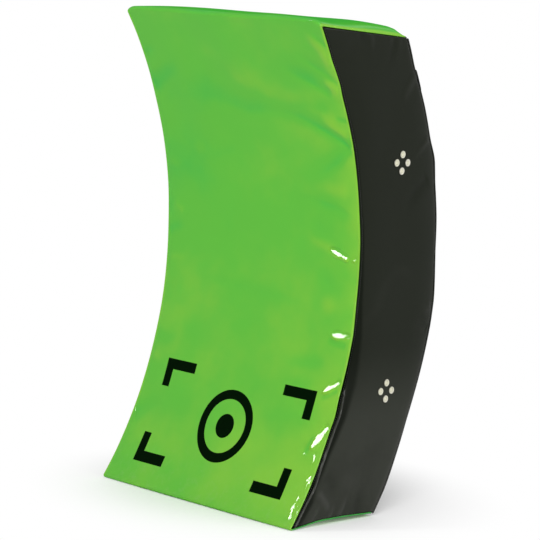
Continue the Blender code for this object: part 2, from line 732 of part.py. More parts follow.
def add_handle(level, level_name, body, carrier):
    tag = "handle_" + level_name + "_"
    for side, side_name in ((-1, "left"), (1, "right")):
        tab_near = ANCHOR_X + GAP
        tab_far = tab_near + ANCHOR_TAB_LENGTH
        half_arc = WEBBING_WIDTH / 2
        margin = ANCHOR_PATCH_MARGIN
        patch_ends = sorted((side * (tab_near - margin), side * (tab_far + margin)))
        patch = lay_sheet(level, *patch_ends, half_arc + margin, GAP, VINYL)
        solidify(add_object(tag + "patch_" + side_name, patch, "black_vinyl", body), VINYL)
        tab_ends = sorted((side * tab_near, side * tab_far))
        tab = lay_sheet(level, *tab_ends, half_arc, TAB_LOW, WEBBING_SHEET)
        solidify(add_object(tag + "tab_" + side_name, tab, "black_webbing", body), WEBBING_SHEET)
        add_object(tag + "leg_" + side_name, leg_mesh(level, side), "black_webbing", carrier)
    half = GRIP_HALF_LENGTH - GAP
    webbing = []
    for x in (-half, half):
        corners = ((-1, -1), (1, -1), (1, 1), (-1, 1))
        webbing.append([handle_point(level, x, a * WEBBING_WIDTH / 2, GRIP_STANDOFF + h * WEBBING_SHEET / 2)
                        for a, h in corners])
    add_object(tag + "webbing", loft(webbing, False), "black_webbing", carrier)
    add_object(tag + "grip_foam", grip_foam(level), "cream_foam", carrier)
    add_object(tag + "grip_sleeve", grip_sleeve(level), "black_vinyl", carrier)


# Strap leg from the sewn tab up to the grip, its middle line a cubic curve level at both ends
def leg_mesh(level, side):
    crown_drop = back_point(ANCHOR_X, 0, 0, 0).y - back_point(0, 0, 0, 0).y
    foot = TAB_LOW + WEBBING_SHEET / 2 + crown_drop
    controls = ((ANCHOR_X, foot), (ANCHOR_X - LEG_REACH / 2, foot),
                (GRIP_HALF_LENGTH + LEG_REACH / 2, GRIP_STANDOFF), (GRIP_HALF_LENGTH, GRIP_STANDOFF))
    rings = []
    for step in range(LEG_STEPS + 1):
        t = step / LEG_STEPS
        weights = ((1 - t) ** 3, 3 * t * (1 - t) ** 2, 3 * t * t * (1 - t), t ** 3)
        x = sum(weight * control[0] for weight, control in zip(weights, controls))
        height = sum(weight * control[1] for weight, control in zip(weights, controls))
        slopes = (-(1 - t) ** 2, (1 - t) * (1 - 3 * t), t * (2 - 3 * t), t * t)
        run = Vector((sum(slope * control[0] for slope, control in zip(slopes, controls)),
                      sum(slope * control[1] for slope, control in zip(slopes, controls)))).normalized()
        ring = []
        for edge, face in ((-1, -1), (1, -1), (1, 1), (-1, 1)):
            shift = face * WEBBING_SHEET / 2
            ring.append(handle_point(level, side * (x + shift * run.y), edge * WEBBING_WIDTH / 2,
                                     height - shift * run.x))
        rings.append(ring)
    return loft(rings, False)


# Share of the full section along the grip, drawn in towards its ends
def grip_share(x, end_share):
    return 1 - (1 - end_share) * abs(x / GRIP_HALF_LENGTH) ** GRIP_END_POWER


def oval_ring(level, x, inset):
    half_arc = GRIP_WIDTH / 2 * grip_share(x, GRIP_END_WIDTH_SHARE) - inset
    half_height = GRIP_THICKNESS / 2 * grip_share(x, GRIP_END_THICKNESS_SHARE) - inset
    ring = []
    for side in (1, -1):
        for step in range(OVAL_POINTS):
            turn = math.pi * (step + 0.5) / OVAL_POINTS
            ring.append(handle_point(level, x, side * half_arc * math.cos(turn),
                                     GRIP_STANDOFF + side * half_height * math.sin(turn)))
    return ring


def slot_ring(level, x):
    half_arc = WEBBING_WIDTH / 2 + GAP
    half_height = WEBBING_SHEET / 2 + GAP
    ring = []
    for side in (1, -1):
        for step in range(OVAL_POINTS):
            arc = half_arc * (1 - 2 * step / (OVAL_POINTS - 1))
            ring.append(handle_point(level, x, side * arc, GRIP_STANDOFF + side * half_height))
    return ring


# Places of the rings along the grip, closer together towards its ends
def grip_stations(half):
    return [half * math.sin(0.5 * math.pi * share) for share in spread(-1, 1, GRIP_STATIONS)]


def grip_sleeve(level):
    foam_half = GRIP_HALF_LENGTH - GRIP_FOAM_SHORTER
    stations = [-GRIP_HALF_LENGTH] + grip_stations(foam_half) + [GRIP_HALF_LENGTH]
    outer = [oval_ring(level, x, 0) for x in stations]
    inner = [oval_ring(level, x, VINYL) for x in reversed(stations)]
    return loft(outer + inner, True)


def grip_foam(level):
    stations = grip_stations(GRIP_HALF_LENGTH - GRIP_FOAM_SHORTER)
    outer = [oval_ring(level, x, SKIN) for x in stations]
    inner = [slot_ring(level, x) for x in reversed(stations)]
    return loft(outer + inner, True)


def build():
    for item in list(bpy.data.objects):
        bpy.data.objects.remove(item, do_unlink=True)
    body = add_carrier("shield", Vector((0, 0, 0)))
    front, core, rear = add_foam(body)
    cover_path = add_green_cover(body)
    add_sides(body, (front, core, rear))
    add_back_panels(body)
    add_zip(body, rear)
    slide = add_carrier("zip_slide_line", zip_point(SLIDER_REST, 0, PIN_HEIGHT), body)
    add_slider(slide, SLIDER_REST)
    hinge = add_carrier("zip_pull_axis", zip_point(SLIDER_REST, 0, PIN_HEIGHT), slide)
    add_pull(hinge, SLIDER_REST)
    for level, level_name in ((1, "upper"), (-1, "lower")):
        foot = back_point(ANCHOR_X, handle_angle(level), 0, TAB_TOP - WEBBING_SHEET / 2)
        pivot = add_carrier("handle_" + level_name + "_axis", Vector((0, foot.y, foot.z)), body)
        add_handle(level, level_name, body, pivot)
    nearest = min(point.y for point in cover_path)
    farthest = max(vertex.y for level in (1, -1) for vertex in oval_ring(level, 0, 0))
    body.location = Vector((0, -(nearest + farthest) / 2, 0))


build()
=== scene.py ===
from math import acos, asin, cos, pi, radians, sin, sqrt, tan

import bpy
import numpy as np
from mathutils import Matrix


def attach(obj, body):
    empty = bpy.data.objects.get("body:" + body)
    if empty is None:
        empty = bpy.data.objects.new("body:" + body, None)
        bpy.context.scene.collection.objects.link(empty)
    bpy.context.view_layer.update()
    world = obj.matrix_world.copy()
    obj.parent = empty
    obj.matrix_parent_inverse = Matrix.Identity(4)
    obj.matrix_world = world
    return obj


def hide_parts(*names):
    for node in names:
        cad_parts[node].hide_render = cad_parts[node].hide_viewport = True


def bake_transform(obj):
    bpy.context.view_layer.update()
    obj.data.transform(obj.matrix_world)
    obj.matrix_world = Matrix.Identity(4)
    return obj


# Tackle shield: its looks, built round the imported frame. Metres, +Z up, the strike face looks along -Y.

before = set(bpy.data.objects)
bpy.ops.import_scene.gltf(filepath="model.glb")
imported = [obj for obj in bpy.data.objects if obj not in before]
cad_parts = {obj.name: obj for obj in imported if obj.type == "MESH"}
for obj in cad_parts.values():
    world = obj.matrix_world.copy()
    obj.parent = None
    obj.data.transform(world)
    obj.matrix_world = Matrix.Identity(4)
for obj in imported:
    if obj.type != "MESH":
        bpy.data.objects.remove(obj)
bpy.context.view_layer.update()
print("frame loaded:", len(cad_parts), "nodes")


class Facts(dict):  # a dictionary whose entries are also read with a dot
    __getattr__ = dict.__getitem__


shield = Facts(  # outline of the stuffed block, as in the part
    width=0.435, height=0.78, depth=0.187, hollow=0.122, bulge=0.114, topRise=0.006, topDrop=0.006, foldRun=0.007,
    shift=-0.1799, frontCrown=0.004, backCrown=0.005, sideCrown=0.005, topCrown=0.008, crownPower=4, vinyl=0.0012,
    skin=0.0015, seamStep=0.0005,
)
halfWidth = shield.width / 2
midHeight = shield.height / 2
frontRadius = (midHeight ** 2 + shield.hollow ** 2) / (2 * shield.hollow)
backRadius = (midHeight ** 2 + shield.bulge ** 2) / (2 * shield.bulge)
frontCentre = shield.hollow - frontRadius + shield.shift
backCentre = shield.hollow + shield.depth - backRadius + shield.shift
topBack = shield.height - shield.topDrop

zipSizes = Facts(
    drop=0.069, halfLength=0.188, halfOpening=0.009, halfSlit=0.0007, coilWidth=0.0026, coilHeight=0.002,
    tapeStart=0.0036, tapeEnd=0.0196, tapeTop=0.0015, tapeSheet=0.0006, pitch=0.0016, wire=0.00042,
    sliderRest=0.175, pinHeight=0.0039, tapeUnder=0.0008, tapeInset=0.0023, stopHalf=0.0033, stopLength=0.004,
    lean=0.00045,
)
zipHeight = topBack - zipSizes.drop
zipAngle = asin((zipHeight - midHeight) / backRadius)
zipBandLow = zipHeight - zipSizes.tapeEnd
sides = ((1, "Right"), (-1, "Left"))
levels = ((1, "Upper"), (-1, "Lower"))
foamNodes = ["foam_front_layer", "foam_core", "foam_rear_layer"]
backNodes = ["back_panel", "back_panel_top_strip"]


# Shape of the block

def frontY(z):  # the strike face: a circle about a line in front of it
    return frontCentre + np.sqrt(frontRadius ** 2 - (z - midHeight) ** 2)


def backY(z):  # the back: a circle about a line in front of the block
    return backCentre + np.sqrt(backRadius ** 2 - (z - midHeight) ** 2)


def frontCos(z):  # cosine of the strike face's lean
    return (frontY(z) - frontCentre) / frontRadius


def backCos(z):  # cosine of the back's lean
    return (backY(z) - backCentre) / backRadius


def topZ(depthShare):  # the top falls in a straight line from the strike face to the back
    return shield.height + shield.topRise - depthShare * (shield.topRise + shield.topDrop)


def outline(depthShare, heightShare, skin):  # a point of the block's side view, held back by skin
    z = skin + heightShare * (topZ(depthShare) - 2 * skin)
    near = frontY(z) + skin / frontCos(z)
    far = backY(z) - skin / backCos(z)
    return np.stack([near + depthShare * (far - near), z * np.ones_like(near)], -1)


def pillow(share):  # 1 in the middle, 0 at both ends: 1 less a power of the way out
    return 1 - np.abs(2 * np.clip(share, 0, 1) - 1) ** shield.crownPower


def depthShareAt(y, z):  # 0 at the strike face, 1 at the back
    return np.clip((y - frontY(z)) / (backY(z) - frontY(z)), 0, 1)


def swell(x, y, z):  # each face bulges by its crown times the pillows of its two ways
    depthShare = depthShareAt(y, z)
    heightShare = np.clip(z / topZ(depthShare), 0, 1)
    across = pillow(x / shield.width + 0.5)
    deep, tall = pillow(depthShare), pillow(heightShare)
    side = shield.sideCrown * x / halfWidth * deep * tall
    front = shield.frontCrown * (1 - depthShare) * across * tall
    back = shield.backCrown * depthShare * across * pillow(z / zipBandLow)
    up = shield.topCrown * heightShare * across * deep
    return np.stack([x + side, y + back - front, z + up], -1)


def foldArc(heightShare, skin, count):  # the arc between the strike face and an end, tangent to both
    corner = outline(0.0, heightShare, skin)
    inward = 1 - 2 * heightShare
    faceZ = corner[1] + inward * shield.foldRun * frontCos(corner[1])
    onFace = np.array([frontY(faceZ) + skin / frontCos(faceZ), faceZ]) - corner
    run = np.linalg.norm(onFace)
    toEnd = outline(1.0, heightShare, skin) - corner
    onEnd = toEnd / np.linalg.norm(toEnd) * run
    halfAngle = acos(onFace @ onEnd / run ** 2) / 2
    middle = (onFace + onEnd) / np.linalg.norm(onFace + onEnd) * run / cos(halfAngle)
    sweep = pi - 2 * halfAngle
    turn = np.linspace(0, sweep, count)[:, None]
    ray = (onFace - middle) * np.sin(sweep - turn) + (onEnd - middle) * np.sin(turn)
    return corner + middle + ray / sin(sweep)


def lengthAlong(line):  # distance run along a line of points
    return np.concatenate([[0], np.cumsum(np.linalg.norm(np.diff(line, axis=0), axis=1))])


def readAt(columns, run, where):  # each column, in straight lines between its stations
    return np.stack([np.interp(where, run, columns[:, k]) for k in range(columns.shape[1])], -1)


def pointsAt(line, where):  # points of a line at given distances along it
    return readAt(line, lengthAlong(line), where)


def unit(ways):  # directions made one long
    return ways / np.linalg.norm(ways, axis=-1, keepdims=True)


def smooth(value):  # 0 below 0, 1 above 1, an S between
    share = np.clip(value, 0, 1)
    return share * share * (3 - 2 * share)


def rising(value, start, span):  # an S from 0 at start to 1 a span later
    return smooth((value - start) / span)


def falling(value, start, span):  # an S from 0 at start to 1 a span below it
    return smooth((start - value) / span)


def interpolated(table, at, spread):  # a column in mm read at a height, evened over three places
    heights, amounts = np.array(table).T / 1000
    return (np.interp(at - spread, heights, amounts) + np.interp(at, heights, amounts)
            + np.interp(at + spread, heights, amounts)) / 3


def circle(count):  # equal turns round a full circle
    return np.arange(count) * 2 * pi / count


def easedStations(count):  # from -1 to 1, close together at both ends: sines of equal turns
    return np.sin(np.linspace(-1, 1, count) * pi / 2)


def spaced(length, fine, coarse, growth):  # steps grow from fine at the ends to coarse in the middle
    steps = [fine]
    while steps[-1] * growth < coarse:
        steps.append(steps[-1] * growth)
    run = np.cumsum([0] + steps)
    middle = max(int((length - 2 * run[-1]) / coarse), 1)
    inner = np.linspace(run[-1], length - run[-1], middle + 1)
    return np.concatenate([run[:-1], inner, length - run[-2::-1]])


def refined(stations, low, high, step):  # finer steps between two places
    kept = stations[(stations < low) | (stations > high)]
    return np.sort(np.concatenate([kept, np.linspace(low, high, int((high - low) / step) + 1)]))


# Cloth relief: broad waves, drawn folds and gathers at seams

def waves(a, b, seed, shortest, longest, count):  # a sum of sines in random directions, about 1 at most
    draw = np.random.default_rng(seed)
    total = 0.0
    for _ in range(count):
        way = draw.uniform(0, 2 * pi)
        size = 2 * pi / draw.uniform(shortest, longest)
        phase = draw.uniform(0, 2 * pi)
        total = total + np.sin(size * (a * cos(way) + b * sin(way)) + phase)
    return total / sqrt(count) / 1.5


def bell(distance, width):  # a rounded hump: e to minus the square of distance over width
    return np.exp(-(distance / width) ** 2)


def hump(value, at, reach):  # a bell about a place
    return bell(value - at, reach)


def tent(distance, width):  # straight slopes that meet in a rounded crest
    slope = 1.08 - (np.sqrt(distance ** 2 + 0.0011 ** 2) - 0.0011) / width
    return (slope + np.sqrt(slope ** 2 + 0.012)) / 2 - 0.03 * np.exp(-distance / width)


def towards(a, b, start, step):  # share of a step where (a, b) lies, and its two ways off it
    t = np.clip(((a - start[0]) * step[0] + (b - start[1]) * step[1]) / (step @ step), 0, 1)
    return t, a - start[0] - t * step[0], b - start[1] - t * step[1]


def stroke(a, b, line, widths, height, fades, profile=bell):  # a hump across a drawn line, fading at its ends
    nodes = np.array(line) / 1000
    steps = np.diff(nodes, axis=0)
    lengths = np.linalg.norm(steps, axis=1)
    before = np.concatenate([[0], np.cumsum(lengths)])
    shape = np.broadcast(a, b).shape
    nearest, along, beside = np.full(shape, 9.0), np.zeros(shape), np.zeros(shape)
    for start, step, length, run in zip(nodes[:-1], steps, lengths, before):
        t, offA, offB = towards(a, b, start, step)
        distance = np.hypot(offA, offB)
        closer = distance < nearest
        nearest = np.where(closer, distance, nearest)
        along = np.where(closer, run + t * length, along)
        beside = np.where(closer, step[0] * offB - step[1] * offA, beside)
    share = along / before[-1]
    width = np.where(beside > 0, *widths) / 1000
    return height / 1000 * profile(nearest, width) * smooth(share / fades[0]) * smooth((1 - share) / fades[1])


def gathers(along, off, seed, size, height, reach):  # ripples along a seam that die out away from it
    ripple = waves(along, 0 * along, seed, size * 0.6, size * 1.7, 9)
    drift = waves(along, 0 * along, seed + 1, size * 5, size * 14, 4)
    return height * ripple * (0.55 + 0.45 * drift) * np.exp(-(off / reach) ** 1.5)


foldKinds = (("valleys", bell), ("ridges", bell), ("puckers", tent))
coverFolds = {  # in mm: x and z of each fold, widths left and right and height; then its fades
    "valleys": [
        ([(-209, 654), (-67, 657), (6, 641), (68, 646), (124, 633), (168, 617), (206, 600), (214, 596)],
         (22, 11), -0.9, (0.5, 0.12)),
        ([(68, 648), (124, 634), (168, 617.5), (207, 600.5), (214, 596)], (10, 3.4), -1.5, (0.6, 0.01)),
        ([(80, 724), (123, 707), (166, 690), (199, 675)], (17, 5), -1.4, (0.7, 0.12)),
        ([(-105, 548), (-80, 562), (-45, 572), (-10, 569)], (12, 10), -0.6, (0.3, 0.5)),
        ([(100, 656), (137, 657), (186, 652)], (10, 8), -0.7, (0.4, 0.2)),
        ([(135, 737), (186, 714), (209, 698), (215, 695)], (7, 4), -1, (0.5, 0.02)),
        ([(188, 765), (205, 757), (214, 750)], (4, 3), -0.8, (0.4, 0.05)),
        ([(188, 640.5), (215.1, 638)], (5, 3), -1, (0.6, 0.02)),
        ([(213, 597), (201, 588), (181, 572), (139, 548), (94, 533)], (9, 16), -1.7, (0.04, 0.8)),
        ([(60, 512), (129, 507), (171, 500), (208, 484)], (5, 12), -0.9, (0.6, 0.2)),
        ([(112, 475), (140, 460), (175, 452)], (14, 14), -0.9, (0.3, 0.6)),
        ([(130, 402), (152.5, 380.8), (175, 356)], (13, 13), -0.9, (0.5, 0.5)),
        ([(-150, 352), (0, 345), (140, 335)], (7, 10), -0.5, (0.4, 0.4)),
        ([(60, 240), (130, 246), (190, 252)], (12, 10), -0.7, (0.6, 0.3)),
        ([(-126, 707), (-166, 686), (-203, 665), (-214, 660)], (10, 13), -0.8, (0.7, 0.05)),
        ([(-181, 732), (-196, 722), (-214, 715)], (6, 6), -0.5, (0.6, 0.05)),
        ([(-165, 437), (-190, 428), (-214, 418)], (10, 10), -0.8, (0.6, 0.05)),
        ([(-150, 250), (-180, 236), (-214, 240)], (10, 10), -0.8, (0.6, 0.05)),
        ([(-150, 140), (-180, 128), (-213, 110)], (14, 12), -1.1, (0.6, 0.05)),
    ],
    "ridges": [
        ([(-50, 748), (0, 697), (55, 672), (130, 650)], (30, 20), 1.1, (0.5, 0.4)),
        ([(71, 672), (119, 660), (165, 648), (200, 630)], (12, 8), 0.6, (0.5, 0.15)),
        ([(-143, 566), (-112, 567)], (10, 9), 0.7, (0.4, 0.4)),
        ([(150, 640), (180, 628), (214.2, 610.8)], (9, 5), 1, (0.5, 0.2)),
        ([(170, 768), (199, 745), (212, 722)], (10, 8), 1.2, (0.4, 0.1)),
        ([(175, 700), (200, 690), (212, 682)], (6, 6), 1.2, (0.5, 0.1)),
        ([(110, 532), (167, 528), (208, 527)], (14, 12), 0.9, (0.6, 0.2)),
        ([(100, 447), (158, 431), (170, 427)], (10, 8), 0.8, (0.6, 0.2)),
        ([(139.3, 350), (187.7, 334.4)], (12, 12), 0.8, (0.5, 0.5)),
        ([(-171, 451), (-204, 467)], (9, 9), 0.9, (0.3, 0.3)),
        ([(-213, 690), (-190, 700), (-160, 718)], (7, 7), 0.5, (0.1, 0.6)),
        ([(-213, 540), (-190, 533), (-168, 538)], (7, 7), 0.4, (0.3, 0.5)),
        ([(-213, 369), (-192, 376), (-170, 373)], (7, 7), 0.4, (0.3, 0.5)),
        ([(-213, 210), (-192, 201), (-176, 203)], (7, 7), 0.4, (0.3, 0.5)),
    ],
    "puckers": [
        ([(168, 288), (185, 285), (210, 282)], (6, 6), -0.9, (0.3, 0.1)),
        ([(178, 196), (195, 202), (214, 214)], (5, 6), -0.9, (0.3, 0.1)),
        ([(184, 105), (186, 124), (193, 144)], (5, 6), -0.9, (0.3, 0.3)),
    ],
}
glints = [  # facets that catch the lamp: two ends (x, z) and half width in mm, tilts right and up in degrees
    ((160.9, 429.4), (192.9, 420.1), 4.4, 3.9, 27.6), ((206.6, 418), (212.6, 420.6), 2.6, -0.5, 27.5),
    ((181.5, 296.8), (206, 297.8), 5.2, 2.9, 19.0), ((206.4, 296), (213, 299.5), 2.2, 0.0, 19.0),
    ((187.5, 208), (208.5, 225), 4.5, 2.6, 13.8), ((196.2, 123.5), (210, 154.5), 5.6, 2.2, 8.7),
    ((203.5, 114.3), (207, 101.5), 2.4, 2.0, 6.6), ((212.2, 83), (210.8, 68.2), 2.4, 1.8, 4.6),
    ((201.8, 33.5), (207.5, 18), 3, 5.0, -1.4), ((212.5, 60), (212.5, 38), 5, -0.5, -4.0),
]


def facet(a, b, first, second, half, right, up):  # a tilted plane along a short line, and its share here
    first, second, half = np.array(first) / 1000, np.array(second) / 1000, half / 1000
    t, offA, offB = towards(a, b, first, second - first)
    wander = 1.1 + 0.15 * np.sin(7 * t) - 0.7 * np.abs(t - 0.5)
    middle = (first + second) / 2
    slope = (a - middle[0]) * tan(radians(right)) + (b - middle[1]) * tan(radians(up))
    share = smooth((1.75 - np.hypot(offA, offB) / (half * wander)) / 0.75)
    return -slope * share, share


lip = Facts(radius=0.0014, turn=150.0, steps=6, inset=0.003)  # how a cover rolls into its seam


def straight(start, end, count):  # equal steps from one place to another
    return start + np.linspace(0, 1, count)[:, None] * (end - start)


def coverPath():  # base, strike face and top in one line, from back edge to back edge
    radius = lip.radius
    turn = np.radians(np.linspace(lip.turn, 0, 24))[:, None]
    ahead, sunk = radius * np.sin(turn) - radius, radius - radius * np.cos(turn)
    lowArc, highArc = foldArc(0.0, 0.0, 60), foldArc(1.0, 0.0, 60)
    lowLip = outline(1.0, 0.0, 0.0) + np.hstack([ahead, sunk])
    highBack = outline(1.0, 1.0, 0.0)
    slope = (highBack - highArc[-1]) / np.linalg.norm(highBack - highArc[-1])
    highLip = highBack + slope * ahead - np.array([-slope[1], slope[0]]) * sunk
    faceZ = np.linspace(lowArc[0, 1], highArc[0, 1], 900)
    face = np.stack([frontY(faceZ), faceZ], -1)
    return np.concatenate([lowLip, straight(lowLip[-1], lowArc[-1], 120)[1:], lowArc[::-1][1:], face[1:],
                           highArc[1:], straight(highArc[-1], highLip[-1], 120)[1:-1], highLip[::-1]])


coverLine = coverPath()
coverRun = lengthAlong(coverLine)
coverNormal = np.gradient(coverLine, coverRun, axis=0)
coverNormal = unit(np.stack([-coverNormal[:, 1], coverNormal[:, 0]], -1))
lowFoldRun, highFoldRun = (coverRun[np.argmin(np.abs(coverLine - foldArc(share, 0.0, 3)[1]).sum(1))]
                           for share in (0.0, 1.0))


def onCover(run):  # place and outward direction at a distance along the cover's line
    return readAt(coverLine, coverRun, run), unit(readAt(coverNormal, coverRun, run))


ends = Facts(  # how far the top puffs up, and the base's side edges are drawn up
    puff=0.0062, puffRight=0.0046, puffReach=0.007, puffRise=0.09, puffBack=0.024, lean=0.55, leanFade=0.05,
    lift=0.0066, liftReach=0.014,
)
seamPull = [  # in mm: height, and how far the right seam is drawn in there
    (0, 0), (80, 0), (117, 1.3), (154, 1.2), (173, -0.6), (200, 1.8), (250, 0.4), (300, -1), (350, 1.2), (450, 0.6),
    (500, 1.8), (600, 2), (655, 4.2), (676, 5.2), (694, 3.2), (731, 5.8), (760, 3.5), (790, 0.8),
]


def pulled(z, side):  # how far a side seam is drawn in: by its points on the right, by slow waves on the left
    left = 0.0004 + 0.0012 * waves(z, 0 * z, 43, 0.05, 0.2, 6)
    left = left * smooth(z / 0.05) * smooth((shield.height - z) / 0.04)
    return np.where(side > 0, interpolated(seamPull, z, 0.005), left)


def baseLift(x, y):  # the base's side edges rise from their front corner and stay up
    share = depthShareAt(y, 0.0)
    off = np.maximum(halfWidth - np.abs(x), 0)
    return ends.lift * smooth(share / 0.42) * (1 - 0.35 * rising(share, 0.6, 0.4)) * bell(off, ends.liftReach)


def endPuff(x, run):  # the top stands up at once from its seams, and sinks to its back edge
    past = run - highFoldRun
    off = np.maximum(halfWidth - np.abs(x), 0)
    rise = 1 - np.exp(-off / ends.puffReach)
    front = smooth((past + ends.puffRise) / ends.puffRise)
    back = smooth((coverRun[-1] - run) / ends.puffBack)
    along = np.clip(past / (coverRun[-1] - highFoldRun), 0, 1)
    slump = 0.5 * (1 - smooth(along / 0.18)) + rising(along, 0.25, 0.45)
    amount = ends.puff + ends.puffRight * rising(x, 0.04, 0.13) * slump
    return amount * rise * front * back, 1 - smooth(past / ends.leanFade)


coverCloth = Facts(  # waves: seed, shortest, longest, count; gathers: seed, size, height, reach
    broad=0.0009, broadWaves=(11, 0.1, 0.26, 7), drag=0.00045, dragWaves=(17, 0.1, 0.3, 6), dragSlant=0.55,
    dragSqueeze=3.2, dragReach=0.11, dragLeft=0.5, seam=(23, 0.021, 0.0003, 0.013), seamLeft=0.2,
    end=(31, 0.022, 0.0006, 0.018), tuck=0.0003, tuckReach=0.008, face=(0.004, 0.012), base=(-0.01, 0.012),
    endShare=0.35, baseShare=0.3,
)
coverPaintedShading = Facts(  # painted light and shade: shares of the relief in it, and the painted bands beside the seams and on the top
    folds=0.75, glints=0.4, drag=0.5, pale=0.0002, paler=0.0003, palerUp=(0.42, 0.1), paleReach=0.022, seam=0.0072,
    base=0.005, seamReach=0.002, top=0.001, topAlong=(-0.006, 0.01), topIn=(0.0015, 0.002),
)


def sided(x, left):  # 1 on the right, a lesser share on the left
    return (1 + left) / 2 + (1 - left) / 2 * np.sign(x)


def coverRelief(x, run, z):  # how far the cover stands out of the plain block, and its painted light and shade
    cloth, paintedFacts = coverCloth, coverPaintedShading
    off = halfWidth - np.abs(x)
    onFace = rising(run - lowFoldRun, *cloth.face) * rising(highFoldRun - run, *cloth.face)
    flatBase = rising(run - lowFoldRun, *cloth.base)
    folds = sum(stroke(x, z, *fold, profile) for kind, profile in foldKinds for fold in coverFolds[kind])
    facets = [facet(x, z, *facts) for facts in glints]
    bends = sum(height for height, _ in facets)
    plain = 1 - np.minimum(sum(share for _, share in facets), 1)
    broad = cloth.broad * waves(x, run, *cloth.broadWaves)
    drag = (cloth.drag * waves(x + cloth.dragSlant * run, cloth.dragSqueeze * run, *cloth.dragWaves)
            * bell(off, cloth.dragReach) * sided(x, cloth.dragLeft))
    seam = gathers(run * np.sign(x + 1e-9), off, *cloth.seam) * sided(x, cloth.seamLeft)
    endRipple = gathers(x, np.minimum(np.abs(run - coverRun[-1]), run), *cloth.end) * (1 - onFace)
    tuck = -cloth.tuck * bell(off, cloth.tuckReach)
    total = ((broad + drag + seam + tuck) * (cloth.endShare + (1 - cloth.endShare) * onFace) * plain
             + (folds * plain + bends) * onFace + endRipple)
    # painted light and shade: lighter on ridges and lit facets, darker in valleys
    paintedTone = (paintedFacts.folds * folds + paintedFacts.glints * np.maximum(bends, 0) + paintedFacts.drag * drag) * onFace
    # a painted highlight band by the right seam and on the face's lips, painted shade on the base's lips and over the
    # top
    pale = paintedFacts.pale + paintedFacts.paler * rising(z, *paintedFacts.palerUp)
    paintedSeamShading = pale * bell(off, paintedFacts.paleReach) * (x > 0)
    paintedSeamShading = paintedSeamShading + (paintedFacts.seam * flatBase - paintedFacts.base) * bell(off, paintedFacts.seamReach)
    paintedSeamShading = paintedSeamShading - paintedFacts.top * rising(run - highFoldRun, *paintedFacts.topAlong) * rising(off, *paintedFacts.topIn)
    return total * flatBase + np.minimum(total, 0) * (1 - flatBase) * cloth.baseShare, paintedTone + paintedSeamShading


def coverSurface(x, run, drop):  # the cover's point at x across and run along, sunk by drop
    place, out = onCover(run)
    y, z = place[..., 0], place[..., 1]
    relief, paintedTone = coverRelief(x, run, z)
    point = swell(x, y, z)
    shift = relief * smooth((halfWidth - np.abs(x)) / 0.003) - drop
    puff, ahead = endPuff(x, run)
    point[..., 0] -= np.sign(x) * pulled(z, x) * np.clip(np.abs(x) / halfWidth, 0, 1) ** 6
    point[..., 1] += shift * out[..., 0] - ends.lean * puff * ahead
    point[..., 2] += shift * out[..., 1] + puff + baseLift(x, y) * (run < lowFoldRun + 0.004)
    return point, paintedTone


# Mesh helpers

def gridFaces(rows, columns, wrapRows=False, wrapColumns=False):  # four-sided faces of a grid of points
    i = np.arange(rows if wrapRows else rows - 1)[:, None]
    j = np.arange(columns if wrapColumns else columns - 1)[None, :]
    up, right = (i + 1) % rows, (j + 1) % columns
    quads = np.stack([i * columns + j, i * columns + right, up * columns + right, up * columns + j], -1)
    return quads.reshape(-1, 4)


def joined(parts):  # several meshes as one, faces renumbered
    points, faces, start = [], [], 0
    for some, theirs in parts:
        points.append(some.reshape(-1, 3))
        faces += [group + start for group in theirs]
        start += len(points[-1])
    return np.concatenate(points), faces


def closedTube(rings):  # rings of points as a skin, each end a fan about its middle
    count, around = rings.shape[:2]
    points = np.concatenate([rings.reshape(-1, 3), rings[0].mean(0)[None], rings[-1].mean(0)[None]])
    spot = np.arange(around)
    after = (spot + 1) % around
    low = np.stack([after, spot, np.full(around, count * around)], -1)
    high = np.stack([spot, after, np.full(around, count * around + 1)], -1)
    high[:, :2] += (count - 1) * around
    return points, [gridFaces(count, around, False, True), low, high]


def closedRing(rings):  # rings of points as a skin whose last ring joins its first
    return rings.reshape(-1, 3), [gridFaces(*rings.shape[:2], True, True)]


def closedSheet(outer, inner):  # two grids of points, one over the other, edges joined
    rows, columns = outer.shape[:2]
    faces = gridFaces(rows, columns)
    count = rows * columns
    rim = np.concatenate([
        np.arange(columns), np.arange(1, rows) * columns + columns - 1,
        (rows - 1) * columns + np.arange(columns - 2, -1, -1), np.arange(rows - 2, 0, -1) * columns])
    after = np.roll(rim, -1)
    wall = np.stack([after, rim, rim + count, after + count], -1)
    return np.concatenate([outer.reshape(-1, 3), inner.reshape(-1, 3)]), [faces, faces[:, ::-1] + count, wall]


def weld(points, faces):  # points at one place become one point
    _, first, which = np.unique(points.round(7), axis=0, return_index=True, return_inverse=True)
    return points[first], [which.reshape(-1)[group] for group in faces]


def outward(points, faces):  # a closed skin right side out: its volume, summed over triangles, is above 0
    volume = 0.0
    for group in faces:
        for k in range(1, group.shape[1] - 1):
            a, b, c = points[group[:, 0]], points[group[:, k]], points[group[:, k + 1]]
            volume += float((a * np.cross(b, c)).sum()) / 6
    return points, faces if volume > 0 else [group[:, ::-1] for group in faces]


